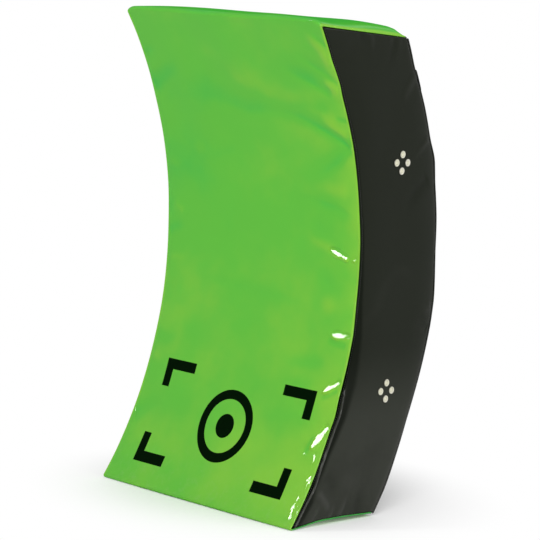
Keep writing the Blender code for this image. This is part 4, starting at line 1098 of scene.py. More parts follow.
def sideStations():  # finer round the vents, so that their holes are clean
    deep = spaced(sideDeep, 0.0005, 0.003, 1.35) / sideDeep
    tall = spaced(sideTall, 0.0005, 0.0031, 1.35) / sideTall
    probeU, probeV = np.meshgrid(np.linspace(0, 1, 80), np.linspace(0, 1, 320))
    flat, _ = acrossSide(probeU, probeV)
    halfU, halfV = vents.zone / sideDeep, vents.zone / sideTall
    deep = refined(deep, 0.0, 0.017 / sideDeep, 0.001 / sideDeep)
    for level, _ in levels:
        spot = np.unravel_index(np.argmin(np.linalg.norm(flat - ventMiddle(level), axis=-1)), probeU.shape)
        u, v = probeU[spot], probeV[spot]
        deep = refined(deep, u - halfU, u + halfU, 0.0017 / sideDeep)
        tall = refined(tall, v - halfV, v + halfV, 0.0017 / sideTall)
    return deep, tall


def pierced(points, rows, columns, sign):  # faces turned outward, without those over an eyelet's bore
    points = points.reshape(-1, 3)
    faces = gridFaces(rows, columns)
    middles = points[faces].mean(1)
    keep = np.ones(len(faces), bool)
    for level, _ in levels:
        for spot in ventSpots(level):
            keep &= np.hypot(middles[:, 1] - spot[0], middles[:, 2] - spot[1]) > vents.cut
    faces = faces[keep][:, ::sign]
    used, faces = np.unique(faces, return_inverse=True)
    return (points[used], [faces.reshape(-1, 4)]), used


def makeSide(sign, name):  # a panel between its four edges, holed for the vents
    deep, tall = sideStations()
    points, paintedTone = sidePoint(*np.meshgrid(deep, tall), sign)
    mesh, used = pierced(points, len(tall), len(deep), sign)
    piece = addSheet("sidePanel" + name, mesh, blackVinyl, "side_panel_" + name.lower(), shield.vinyl,
                     paintedTone.ravel()[used])
    return piece


print("side panels made:", [len(makeSide(sign, name).data.vertices) for sign, name in sides])


def eyeletProfile():  # washer, barrel and a flange with an elliptic top: (radius, height)
    bore, flange, washer = vents.bore, vents.flange, vents.washer
    barrel, face, under, bend = bore + vents.wall, 0.0003, -0.0028, 0.0002
    turn = np.linspace(0, pi, 13)
    middle, half = (bore + flange) / 2, (flange - bore) / 2
    dome = np.stack([middle - half * np.cos(turn), face + 0.0003 + (vents.rise - 0.0003) * np.sin(turn) ** 0.8], -1)
    return np.concatenate([dome, [
        (flange, face), (barrel + bend, face), (barrel, under), (washer - bend, under), (washer, under - bend),
        (washer - 0.0003, under - 0.0006), (bore + 0.0004, under - 0.0009), (bore, under - 0.0006), (bore, -0.001)]])


def makeVents():  # inner patches, and eyelets turned from a profile, with painted shade at the flange's rim
    profile, turn, half = eyeletProfile(), circle(vents.segments), vents.patchHalf
    # painted shade on the flange's outer rim, where it meets the vinyl
    grime = np.repeat(0.85 * rising(profile[:, 0], 0.0053, 0.0006), vents.segments)
    across = np.linspace(-half, half, 33)
    for sign, sideName in sides:
        for level, levelName in levels:
            tag = sideName.lower() + "_" + levelName.lower()
            middle = ventMiddle(level)
            y, z = np.meshgrid(middle[0] + across, middle[1] + across)
            points = np.stack([sign * (sideFace(y, z) - shield.skin), y, z], -1)
            mesh, _ = pierced(points, 33, 33, sign)
            patch = addSheet("ventPatch" + sideName + levelName, mesh, patchVinyl, "vent_patch_" + tag,
                             vents.patchSheet)
            for number, spot in enumerate(ventSpots(level), start=1):
                centre = np.array([sign * float(sideFace(*spot)), *spot])
                ray = np.stack([0 * turn, np.cos(turn), sign * np.sin(turn)], -1)
                rings = centre + profile[:, None, :1] * ray + profile[:, None, 1:] * np.array([sign, 0.0, 0.0])
                addSolid("eyelet" + sideName + levelName + str(number), closedRing(rings), ivoryEnamel, "shield",
                         "eyelet_" + tag + "_" + str(number), paintedTones=grime)


makeVents()
print("vents made")


# Foam inside, seen through the eyelets

layers = Facts(
    front=0.055, rear=0.045, gap=0.0003, skin=0.0062, bulge=0.00313, bulgeEdge=0.0009, bulgeTop=0.0017, segments=14,
    drawn=0.035,
)


def foamPoint(x, depthShare, heightShare):  # the block, held back by the folds' depth
    flat = outline(depthShare, heightShare, layers.skin)
    point = swell(x, flat[..., 0], flat[..., 1])
    drawn = pulled(flat[..., 1], x) * np.exp(-(depthShare * shield.depth / layers.drawn) ** 1.5)
    point[..., 0] -= np.sign(x) * np.maximum(drawn, 0) * (np.abs(x) / halfWidth) ** 6
    return point


def foamBulge(sign, spot):  # a dome of foam that swells into an eyelet
    turn = circle(layers.segments)
    face = float(sideFace(*spot))
    root = np.array([(-layers.skin - 0.001, 1.0)])
    rise = np.radians([0, 25, 48, 68, 84])
    dome = np.stack([layers.bulgeEdge + (layers.bulgeTop - layers.bulgeEdge) * np.sin(rise), np.cos(rise)], -1)
    return outward(*closedTube(np.array([
        np.stack([np.full(len(turn), sign * (face + height)), spot[0] + layers.bulge * share * np.cos(turn),
                  spot[1] + layers.bulge * share * np.sin(turn)], -1)
        for height, share in np.concatenate([root, dome])])))


def makeFoam():  # three layers, each of six grids on the block's shape, welded at their edges
    frontShare, rearShare = layers.front / shield.depth, 1 - layers.rear / shield.depth
    gap = layers.gap / shield.depth / 2
    xs = easedStations(25) * (halfWidth - layers.skin)
    heights = np.linspace(0, 1, 150)
    for name, node, low, high, count in (("foamFrontLayer", foamNodes[0], 0.0, frontShare - gap, 10),
                                         ("foamCore", foamNodes[1], frontShare + gap, rearShare - gap, 24),
                                         ("foamRearLayer", foamNodes[2], rearShare + gap, 1.0, 9)):
        ways = (xs, np.linspace(low, high, count), heights)
        parts = []
        for fixed, a, b in ((0, 1, 2), (1, 0, 2), (2, 0, 1)):
            for end in (0, 1):
                full = [None, None, None]
                full[a], full[b] = np.meshgrid(ways[a], ways[b])
                full[fixed] = ways[fixed][-end] + 0 * full[a]
                flip = (end == 1) if fixed == 1 else (end == 0)
                parts.append((foamPoint(*full), [gridFaces(len(ways[b]), len(ways[a]))[:, ::-1 if flip else 1]]))
        mesh = weld(*joined(parts))
        if name == "foamCore":
            mesh = joined([mesh] + [foamBulge(sign, spot) for sign, _ in sides for level, _ in levels
                                    for spot in ventSpots(level)])
        addSolid(name, mesh, creamFoam, "shield", node)


makeFoam()
print("foam made")


# Black back panel and its strip above the zip

backMesh = Facts(fine=0.0012, coarse=0.008, growth=1.2, rowFine=0.0004, rowStep=0.0045, rowGrowth=1.35)
backCloth = Facts(  # waves: seed, shortest, longest, count; gathers: seed, size, height, reach
    broad=0.0008, broadWaves=(71, 0.1, 0.26, 7), seam=(73, 0.019, 0.0007, 0.014), base=(79, 0.02, 0.0006, 0.016),
    tuck=0.0006, tuckReach=0.01, patchX=0.1283, patchZ=0.15, patchHalfX=0.032, patchHalfZ=0.028, patchSpan=0.025,
    roll=(0.003, 0.0011),
)


def backRelief(x, z):  # waves and gathers, still under the handles' patches and along the zip
    cloth = backCloth
    off = halfWidth - np.abs(x)
    broad = cloth.broad * waves(x, z, *cloth.broadWaves)
    seam = gathers(z * np.sign(x + 1e-9), off, *cloth.seam) - cloth.tuck * bell(off, cloth.tuckReach)
    quiet = 1.0
    for level, _ in levels:
        for sign, _ in sides:
            apart = np.maximum(np.abs(x - sign * cloth.patchX) - cloth.patchHalfX,
                               np.abs(z - (midHeight + level * cloth.patchZ)) - cloth.patchHalfZ)
            quiet = quiet * smooth(apart / cloth.patchSpan)
    fromZip = np.abs(z - zipHeight)
    return (broad * smooth(fromZip / 0.05 - 0.35) + seam * rising(fromZip, 0.007, 0.02)
            + gathers(x, z, *cloth.base)) * quiet


def backSurface(x, z, drop=0.0):  # the swollen arc, the relief square to it and the seams' bulges
    point = swell(x, backY(z), z)
    off = halfWidth - np.abs(x)
    relief = backRelief(x, z) * smooth(off / 0.004) - drop
    point[..., 1] += relief * backCos(z) + backWobble(z) * bell(off, 0.03)
    point[..., 2] += relief * (z - midHeight) / backRadius
    return point


zipHalfOpening = zipSizes.halfOpening * backCos(zipHeight)


def makeBackPanels():  # two sheets with lips at the sides and rolled ends
    across = spaced(2 * (halfWidth - lip.radius), backMesh.fine, backMesh.coarse, backMesh.growth)
    across, sideDrop = lipped(across - (halfWidth - lip.radius))
    for name, node, low, high, lowRoll, highRoll in (
            ("backPanel", backNodes[0], lip.inset, zipHeight - zipHalfOpening, *backCloth.roll),
            ("backTopStrip", backNodes[1], zipHeight + zipHalfOpening, topBack - lip.inset + 0.0006,
             *backCloth.roll[::-1])):
        rows = low + spaced(high - low, backMesh.rowFine, backMesh.rowStep, backMesh.rowGrowth)
        endDrop = rollDrop(rows - low, lowRoll) + rollDrop(high - rows, highRoll)
        x, z = np.meshgrid(across, rows)
        points = backSurface(x, z, np.maximum(sideDrop[None, :], endDrop[:, None]))
        # painted highlight along the side edges, stronger lower down
        paintedTone = -(0.35 + 0.35 * falling(z, 0.3, 0.2)) * bell(halfWidth - np.abs(x), 0.003)
        piece = addSheet(name, (points, [gridFaces(*x.shape)[:, ::-1]]), blackVinyl, node, shield.vinyl, paintedTone)


makeBackPanels()
print("back panels made")


# Zip

def backPoint(x, angle, arc, height):  # arc goes up the back from angle, height out of it
    turn = angle + arc / backRadius
    reach = backRadius + height
    z = midHeight + backRadius * np.sin(turn)
    crown = shield.backCrown * pillow(x / shield.width + 0.5) * pillow(z / zipBandLow)
    y = backCentre + reach * np.cos(turn) + crown
    return np.stack(np.broadcast_arrays(x, y, midHeight + reach * np.sin(turn)), -1)


def onBack(x, angle, arc, height):  # a line laid on the back, with its outward direction
    line = backPoint(x, angle, arc, height)
    turn = angle + arc / backRadius
    out = np.stack([0 * turn, np.cos(turn), np.sin(turn)], -1)
    return line + backRelief(x, line[..., 2])[..., None] * out, out


def zipPoint(x, arc, height):  # flat frame of the zip's middle line
    base = backPoint(x, zipAngle, 0.0, height)
    return base + np.asarray(arc)[..., None] * np.array([0, -sin(zipAngle), cos(zipAngle)])


def makeTape(sign, name):  # a woven band on the back's arc, its UV in metres
    size, tapeHalf = zipSizes, halfWidth - zipSizes.tapeInset
    arcs = np.sort(sign * np.linspace(size.tapeStart - size.tapeUnder, size.tapeEnd, 12))
    x, arc = np.meshgrid(np.linspace(-tapeHalf, tapeHalf, 120), arcs)
    mesh = closedSheet(backPoint(x, zipAngle, arc, -size.tapeTop),
                       backPoint(x, zipAngle, arc, -size.tapeTop - size.tapeSheet))
    tape = addSolid("zipTape" + name, mesh, blackTape, "shield", "zip_tape_" + name.lower(), uv=twice(x, arc))


def twice(a, b):  # the UV of both grids of a closed sheet
    return np.concatenate([np.stack([a, b], -1).reshape(-1, 2)] * 2)


def makeCoil(sign, name):  # a flattened spiral of wire, the upper half a pitch behind
    size, wire = zipSizes, zipSizes.wire
    turns = int(2 * size.halfLength / size.pitch)
    t = np.linspace(0, turns, turns * 10 + 1)
    phase = 2 * pi * t
    along = -size.halfLength + wire + t / turns * (2 * size.halfLength - 2 * wire)
    shift = 0.0 if sign > 0 else size.pitch / 2
    along = np.clip(along + shift, -size.halfLength + wire, size.halfLength - wire)
    arc = (sign * (size.halfSlit + size.coilWidth / 2)
           - sign * (size.coilWidth / 2 - wire) * np.cos(phase))
    height = -(size.tapeTop + size.tapeSheet / 2) + (size.coilHeight / 2 - wire) * np.sin(phase)
    spine = zipPoint(along + size.lean * np.sin(phase), arc, height)
    way = unit(np.gradient(spine, axis=0))
    side = unit(np.cross(way, np.array([1.0, 0, 0])))
    up = np.cross(side, way)
    angle = circle(5)[:, None]
    rings = spine[:, None] + wire * (side[:, None] * np.cos(angle) + up[:, None] * np.sin(angle))
    addSolid("zipCoil" + name, closedTube(rings), blackNylon, "shield", "zip_coil_" + name.lower())


def roundedBlock(low, high, bottom, top, halfArc, bevel):  # a block with rounded edges in the zip's flat frame
    rings = []
    for height, pull in ((bottom, bevel), (bottom + bevel * 0.3, bevel * 0.3), (bottom + bevel, 0),
                         (top - bevel, 0), (top - bevel * 0.3, bevel * 0.3), (top, bevel)):
        corner = min(bevel * 1.6, (halfArc - pull) * 0.8)
        ring = roundedRing((low + high) / 2, (high - low) / 2 - pull, halfArc - pull, corner, 4)
        rings.append(zipPoint(ring[:, 0], ring[:, 1], height))
    return closedTube(np.array(rings))


def roundedRing(middle, halfX, halfArc, radius, count):  # a rectangle with quarter turns for corners
    ring = []
    for number, (signX, signArc) in enumerate(((1, 1), (-1, 1), (-1, -1), (1, -1))):
        angle = np.linspace(0, pi / 2, count) + number * pi / 2
        ring.append(np.stack([middle + signX * (halfX - radius) + radius * np.cos(angle),
                              signArc * (halfArc - radius) + radius * np.sin(angle)], -1))
    return np.concatenate(ring)


def cornered(a, b, radius):  # a grid of -1 to 1, drawn in to round its corners
    over, high = (np.maximum(np.abs(way) - (1 - limit), 0) / limit for way, limit in zip((a, b), radius))
    scale = np.maximum(over, high) / np.maximum(np.hypot(over, high), 1e-9)
    return (np.where(past > 0, np.sign(way) * ((1 - limit) + past * scale * limit), way)
            for way, past, limit in zip((a, b), (over, high), radius))


def sewnPatch(middleX, angle, halfX, halfArc, low, sheet, corner):  # a rounded sheet on the back, thinner at its rim
    a, b = np.meshgrid(np.linspace(-1, 1, 41), np.linspace(-1, 1, 37))
    a, b = np.sign(a) * np.abs(a) ** 0.8, np.sign(b) * np.abs(b) ** 0.8
    roundA, roundB = cornered(a, b, (corner / halfX, corner / halfArc))
    x, arc = middleX + halfX * roundA, halfArc * roundB
    rim = np.minimum((1 - np.abs(a)) * halfX, (1 - np.abs(b)) * halfArc)
    top = low + sheet - rollDrop(rim, sheet * 0.8) - 0.00035 * bell(rim - 0.004, 0.0011)
    outer = backPoint(x, angle, arc, top)
    lift = backRelief(x, outer[..., 2])[..., None] * np.array([0, cos(angle), sin(angle)])
    return closedSheet(outer + lift, backPoint(x, angle, arc, np.full_like(x, low)) + lift), twice(x, arc)


def laidPatch(name, node, middle, angle, halfX, halfArc, low, sheet, corner):  # a vinyl patch on the back
    mesh, _ = sewnPatch(middle, angle, halfX, halfArc, low, sheet, corner)
    patch = addSolid(name, mesh, patchVinyl, "shield", node)


def rimStitches(middleX, angle, halfX, halfArc, height, corner, inset, *pitch):  # stitches inside a patch's rim
    ring = roundedRing(0.0, halfX - inset, halfArc - inset, max(corner - inset, 0.0012), 7)
    ring = np.concatenate([ring, ring[:1]])
    fine = pointsAt(ring, np.linspace(0, lengthAlong(ring)[-1], 600))
    return stitchRun(*onBack(middleX + fine[:, 0], angle, fine[:, 1], height), *pitch)


endTab = Facts(over=0.0045, inset=0.001, low=-0.0002, sheet=0.0012, corner=0.004)


def makeEndTab(sign, name):  # a patch over each end of the zip, stitched round
    near, far = zipSizes.halfLength - endTab.over, halfWidth - endTab.inset
    middle, half, halfArc = sign * (near + far) / 2, (far - near) / 2, zipSizes.tapeEnd
    laidPatch("zipEndTab" + name, "zip_end_tab_" + name.lower(), middle, zipAngle, half, halfArc, endTab.low,
              endTab.sheet, endTab.corner)
    addThread("zipEndTabStitches" + name, [rimStitches(middle, zipAngle, half, halfArc, 0.0009, endTab.corner,
                                                       0.003, 0.003, 0.0023)])


def makeZip():  # tapes and coils, a stop and a tab at both ends
    for sign, name in levels:
        makeTape(sign, name)
        makeCoil(sign, name)
    for sign, name in sides[::-1]:
        start = zipSizes.halfLength + 0.0003
        low, high = sorted((sign * start, sign * (start + zipSizes.stopLength)))
        stop = roundedBlock(low, high, -0.0028, -0.0008, zipSizes.stopHalf, 0.0005)
        addSolid("zipStop" + name, stop, nickelPlate, "shield", "zip_stop_" + name.lower())
        makeEndTab(sign, name)


makeZip()
print("zip made")


# Slider and pull

slider = Facts(
    halfLength=0.007, plate=0.0016, flange=0.0052, tapeStart=0.0036, top=0.0011, bottom=-0.0047, lugHalf=0.0018,
    lug=0.001, eyeHalf=0.0019, eyeRadius=0.0021, pin=0.0008, gap=0.0003, pullLength=0.03, pullHalf=0.0045,
    pullSheet=0.0014, pullLift=0.0018, hole=0.0022, head=0.0011, bevel=0.0003, groove=0.0002,
)


def sliderPoint(x, arc, height):  # the zip's flat frame, from where the slider rests
    return zipPoint(zipSizes.sliderRest + x, arc, height)


def aboutPin(profile, count):  # circles about the pin's line, by arc and radius
    turn = circle(count)
    return np.array([sliderPoint(radius * np.cos(turn), np.full(count, arc),
                                 zipSizes.pinHeight + radius * np.sin(turn)) for arc, radius in profile])


def plateOutline(scale):  # the outline from above: broad in front, narrow behind
    turn = np.linspace(0, 2 * pi, 48, endpoint=False)
    c, s = np.cos(turn), np.sin(turn)
    x = slider.halfLength * np.sign(c) * np.abs(c) ** 0.75
    arc = slider.flange * np.sign(s) * np.abs(s) ** 0.6
    arc = arc * (0.86 + 0.14 * smooth((x / slider.halfLength + 0.6) / 1.2))
    return x * scale, arc * scale


def sliderPlate(low, high):  # a plate drawn in a little at both faces
    return [sliderPoint(*plateOutline(1 - 0.1 * abs(2 * share - 1) ** 4), low + share * (high - low))
            for share in np.linspace(0, 1, 7)]


def sliderFlange(sign, low, high):  # a guide along one side of a plate
    inner, outer = slider.tapeStart + 0.0001, slider.flange - 0.0002
    arc, height = np.array([(inner, low), (outer, low + 0.0001), (outer, high), (inner, high)]).T
    return [sliderPoint(np.full(4, x), sign * arc, height) for x in slider.halfLength * np.linspace(-0.86, 0.78, 9)]


def sliderPost():  # the wedge between the plates that parts the coils
    x, arc = np.array([(0.002, -0.0003), (0.0064, -0.0004), (0.0064, 0.0004), (0.002, 0.0003)]).T
    return [sliderPoint(x, arc, height) for height in (-0.0034, -0.002, -0.0002)]


def sliderEar(sign):  # a round-topped ear that holds one end of the pin
    half, foot = slider.lugHalf, slider.top - 0.0004
    inner = sign * (slider.eyeHalf + slider.gap)
    outer = inner + sign * slider.lug
    turn = np.linspace(0, pi, 13)
    dome = np.stack([half * np.cos(turn), zipSizes.pinHeight + half * np.sin(turn)], -1)
    shape = np.concatenate([[(half * 1.5, foot)], dome, [(-half * 1.5, foot)]])
    middle, rings = shape.mean(0), []
    for arc, pull in ((inner, 0.0001), (inner + sign * 0.0001, 0.0), (outer - sign * 0.0003, 0.0), (outer, 0.0003)):
        ring = middle + (shape - middle) * (1 - pull / half)
        rings.append(sliderPoint(ring[:, 0], np.full(len(ring), arc), ring[:, 1]))
    return rings


def makeSlider():  # two plates with guides, a post, two ears and the pin with its heads
    plate, top, bottom, head = slider.plate, slider.top, slider.bottom, slider.head
    reach = slider.eyeHalf + slider.gap + slider.lug
    heads = ((reach + 0.0003, 0.0006), (reach + 0.0002, 0.001))
    pin = ([(-arc, radius) for arc, radius in heads] + [(-reach + 0.0001, head), (-reach + 0.0001, slider.pin),
           (reach - 0.0001, slider.pin), (reach - 0.0001, head)] + list(heads[::-1]))
    parts = [sliderPlate(top - plate, top), sliderPlate(bottom, bottom + plate)]
    parts += [sliderFlange(sign, low, high) for sign in (-1, 1)
              for low, high in ((-0.0012, top - 0.0006), (bottom + 0.0006, -0.0024))]
    parts += [sliderPost(), sliderEar(-1), sliderEar(1), aboutPin(pin, 20)]
    mesh = joined([outward(*closedTube(np.array(rings))) for rings in parts])
    addSolid("zipSlider", mesh, nickelPlate, "zip_slider", "zip_slider")


def pullOutline(count):  # the pull about its hole: round tip, shoulders, narrow neck
    half, eye = slider.pullHalf, slider.eyeHalf
    tip = -slider.pullLength
    neck = -(slider.lugHalf + slider.eyeRadius)
    turn = np.linspace(pi / 2, 3 * pi / 2, 25)
    end = np.stack([tip + half + half * np.cos(turn), half * np.sin(turn)], -1)
    upper = np.array([(0.0, eye), (neck + 0.001, eye), (neck - 0.0012, eye + 0.0008), (neck - 0.0024, half * 0.86),
                      (neck - 0.0045, half)])
    line = np.concatenate([upper, end, (upper * [1, -1])[::-1], [(0.0, 0.0), (0.0, eye)]])
    dense = pointsAt(line, np.linspace(0, lengthAlong(line)[-1], 2000, endpoint=False))
    beside = dense[:, 0] - (tip + half)
    angle = np.unwrap(np.arctan2(dense[:, 1], beside))
    want = angle[0] + np.sign(angle[-1] - angle[0]) * np.linspace(0, 2 * pi, count, endpoint=False)
    order = np.argsort(angle)
    away = np.hypot(beside, dense[:, 1])
    return tip + half, want, np.interp(want, angle[order], away[order], period=2 * pi)


def makePull():  # a holed plate with a sunk middle, and the eye on the pin
    middle, angle, radius = pullOutline(180)
    low, high = slider.pullLift, slider.pullLift + slider.pullSheet
    inner, bevel, rise = np.full_like(radius, slider.hole), slider.bevel, slider.groove
    profile = ((inner + bevel, low), (inner, low + bevel), (inner, high - bevel), (inner + bevel, high),
               (inner + 0.0011, high), (inner + 0.0014, high - rise), (radius - 0.0014, high - rise),
               (radius - 0.0011, high), (radius - bevel, high), (radius, high - bevel), (radius, low + bevel),
               (radius - bevel, low))
    plate = [sliderPoint(middle + reach * np.cos(angle), reach * np.sin(angle), height) for reach, height in profile]
    half, bore, outer = slider.eyeHalf, slider.pin + slider.gap, slider.eyeRadius
    eye = ((-half, bore), (-half, outer - 0.0002), (-half + 0.0002, outer), (half - 0.0002, outer),
           (half, outer - 0.0002), (half, bore))
    mesh = joined([outward(*closedRing(np.array(rings))) for rings in (plate, aboutPin(eye, 24))])
    addSolid("zipPull", mesh, nickelPlate, "zip_pull", "zip_pull")


makeSlider()
makePull()
print("slider and pull made")


# Handles

handle = Facts(
    offset=0.15, gripHalf=0.075, standoff=0.045, width=0.046, thickness=0.026, endWidth=0.84, endThickness=0.48,
    power=6, webbing=0.032, sheet=0.002, reach=0.033, tab=0.04, margin=0.01, foot=0.0018, patchLow=0.0003,
    patchSheet=0.0012, patchCorner=0.006, tabCorner=0.001, sleeveInset=0.0014, foamInset=0.0034, slack=0.0004,
    foamShort=0.004,
)
stuffing = Facts(  # the sleeve as cloth: its pressure, and how far a point may go
    voxel=0.004, pressure=4.0, cap=0.0022, frames=16, mass=0.3, tension=25, shear=10, bending=1.5, levels=2,
)
sleeveCloth = Facts(  # gathers at the sleeve's ends, slack, and its seam's groove
    folds=0.0007, foldReach=0.016, slack=0.0005, slackWaves=(91, 0.02, 0.06, 8), slackSize=0.018, groove=0.0011,
    grooveReach=0.0016,
)


def handleAngle(level):  # how far round the back's arc a handle sits
    return asin(level * handle.offset / backRadius)


def backWays(level):  # the ways up the back and out of it where a handle sits
    angle = handleAngle(level)
    return np.array([0, -sin(angle), cos(angle)]), np.array([0, cos(angle), sin(angle)])


def handlePoint(level, x, arc, height):  # the flat frame that a grip is built in
    base = backPoint(np.zeros_like(x), handleAngle(level), 0.0, height)
    point = base + np.asarray(arc)[..., None] * backWays(level)[0]
    point[..., 0] += x
    return point


def gripRing(x, turn, inset):  # an oval drawn in at the grip's ends: arc and height
    share = np.abs(x / handle.gripHalf) ** handle.power
    wide = handle.width / 2 * (1 - (1 - handle.endWidth) * share) - inset
    thick = handle.thickness / 2 * (1 - (1 - handle.endThickness) * share) - inset
    return wide * np.cos(turn), thick * np.sin(turn)


def applied(piece):  # the piece takes on the mesh that its modifiers make
    material = piece.data.materials[0]
    graph = bpy.context.evaluated_depsgraph_get()
    data = bpy.data.meshes.new_from_object(piece.evaluated_get(graph))
    piece.modifiers.clear()
    piece.data = data
    data.materials.clear()
    data.materials.append(material)
    data.shade_smooth()


def readPoints(data):  # a mesh's coordinates as one row
    row = np.zeros(len(data.vertices) * 3, np.float32)
    data.vertices.foreach_get("co", row)
    return row


def blownUp(piece):  # cloth under pressure, each point's way capped
    scene = bpy.context.scene
    cloth = piece.modifiers.new("stuffing", "CLOTH")
    cloth.settings.quality = 6
    cloth.settings.mass = stuffing.mass
    cloth.settings.tension_stiffness = cloth.settings.compression_stiffness = stuffing.tension
    cloth.settings.shear_stiffness = stuffing.shear
    cloth.settings.bending_stiffness = stuffing.bending
    cloth.settings.use_pressure = True
    cloth.settings.uniform_pressure_force = stuffing.pressure
    cloth.settings.effector_weights.gravity = 0
    cloth.point_cache.frame_start, cloth.point_cache.frame_end = 1, stuffing.frames
    for number in range(1, stuffing.frames + 1):
        scene.frame_set(number)
    blown = piece.evaluated_get(bpy.context.evaluated_depsgraph_get())
    start, after = readPoints(piece.data), readPoints(blown.to_mesh())
    blown.to_mesh_clear()
    piece.modifiers.clear()
    scene.frame_set(1)
    way = (after - start).reshape(-1, 3)
    length = np.linalg.norm(way, axis=1)[:, None]
    start += (way * np.minimum(1, stuffing.cap / np.maximum(length, 1e-9))).ravel()
    piece.data.vertices.foreach_set("co", start)
    piece.data.update()


def gripSkin():  # the sleeve in its own frame: x, arc and height from its middle
    stations = np.concatenate([[-1.0], easedStations(25) * 0.985, [1.0]]) * (handle.gripHalf - 0.002)
    rings = []
    for number, x in enumerate(stations):
        arc, height = gripRing(np.array(x), circle(40), handle.sleeveInset)
        if number in (0, len(stations) - 1):
            arc, height = arc * 0.9, height * 0.55
        rings.append(np.stack([np.full_like(arc, x), arc, height], -1))
    piece = addMesh("gripShape", outward(*closedTube(np.array(rings))), blackVinyl)
    remesh = piece.modifiers.new("even", "REMESH")
    remesh.mode, remesh.voxel_size = "VOXEL", stuffing.voxel
    applied(piece)
    blownUp(piece)
    smoothing = piece.modifiers.new("smoothing", "SUBSURF")
    smoothing.levels = smoothing.render_levels = stuffing.levels
    applied(piece)
    return piece


def readFaces(data):  # a mesh's faces, grouped by how many corners they have
    sizes = np.zeros(len(data.polygons), np.int32)
    data.polygons.foreach_get("loop_total", sizes)
    corners = np.zeros(len(data.loops), np.int32)
    data.loops.foreach_get("vertex_index", corners)
    starts = np.cumsum(sizes) - sizes
    return [corners[starts[sizes == size][:, None] + np.arange(size)] for size in np.unique(sizes)]


def gripRelief(points):  # gathers at the ends, and a sewn groove along the inner side
    cloth = sleeveCloth
    x, arc, height = points.T
    turn = np.arctan2(height / handle.thickness, arc / handle.width)
    fromEnd = handle.gripHalf - np.abs(x)
    out = np.stack([0 * x, arc / (handle.width / 2) ** 2, height / (handle.thickness / 2) ** 2], -1)
    out /= np.maximum(np.linalg.norm(out, axis=1), 1e-9)[:, None]
    folds = cloth.folds * np.sin(13 * turn + 2 * np.sin(3 * turn)) * bell(fromEnd, cloth.foldReach)
    slack = cloth.slack * waves(x, turn * cloth.slackSize, *cloth.slackWaves)
    groove = -cloth.groove * bell(arc, cloth.grooveReach) * (height < 0)
    return points + out * (folds + slack + groove)[:, None]


def makeGripSeam(level, levelName, body, local):  # stitches both sides of the groove on the inner side
    xs = np.linspace(-handle.gripHalf + 0.006, handle.gripHalf - 0.006, 160)
    under = local[(local[:, 2] < 0) & (np.abs(local[:, 1]) < 0.006)]
    runs = []
    for offset in (-0.0034, 0.0034):
        near = under[np.abs(under[:, 1] - offset) < 0.0011]
        order = np.argsort(near[:, 0])
        depth = np.interp(xs, near[order, 0], near[order, 2])
        depth = np.convolve(np.pad(depth, 4, mode="edge"), np.ones(9) / 9, mode="valid")
        line = handlePoint(level, xs, np.full_like(xs, offset), handle.standoff + depth)
        runs.append(stitchRun(line, np.tile(-backWays(level)[1], (len(xs), 1))))
    addThread("gripStitches" + levelName, runs, body)


def makeGripInside(level, levelName, body):  # foam round a square channel, and the webbing in it
    stations = easedStations(17) * (handle.gripHalf - handle.foamShort)
    turn = circle(28)
    square = np.maximum(np.abs(np.cos(turn)), np.abs(np.sin(turn)))
    channel = [(handle[size] / 2 + handle.slack) * wave / square
               for size, wave in (("webbing", np.cos(turn)), ("sheet", np.sin(turn)))]
    shapes = [(x, gripRing(np.array(x), turn, handle.foamInset)) for x in stations]
    shapes += [(x, channel) for x in stations[::-1]]
    rings = [handlePoint(level, np.full(len(turn), x), arc, handle.standoff + height) for x, (arc, height) in shapes]
    foam = addSolid("gripFoam" + levelName, closedRing(np.array(rings)), creamFoam, body, body + "_grip_foam")
    xs = np.linspace(-1, 1, 40) * (handle.gripHalf - 0.0003)
    mesh, uv = strapMesh(handlePoint(level, xs, 0 * xs, handle.standoff + 0 * xs), level)
    addSolid("gripWebbing" + levelName, mesh, blackWebbing, body, body + "_webbing", uv=uv)


def strapMesh(spine, level):  # a band with rounded edges along a line, its UV in metres
    way = unit(np.gradient(spine, axis=0))
    side = np.tile(backWays(level)[0], (len(spine), 1))
    up = np.cross(way, side)
    half, thick = handle.webbing / 2, handle.sheet / 2
    edge = np.linspace(-pi / 2, pi / 2, 5)
    flat = np.linspace(-1, 1, 9)[1:-1] * (half - thick)
    right = np.stack([half - thick + thick * np.cos(edge), thick * np.sin(edge)], -1)
    above = np.stack([flat[::-1], np.full(7, thick)], -1)
    profile = np.concatenate([right, above, -right, -above])
    rings = spine[:, None] + side[:, None] * profile[None, :, :1] + up[:, None] * profile[None, :, 1:]
    run = lengthAlong(spine)
    uv = np.stack(np.broadcast_arrays(run[:, None], profile[None, :, 0]), -1).reshape(-1, 2)
    return closedTube(rings), np.concatenate([uv, [[run[0], 0.0], [run[-1], 0.0]]])


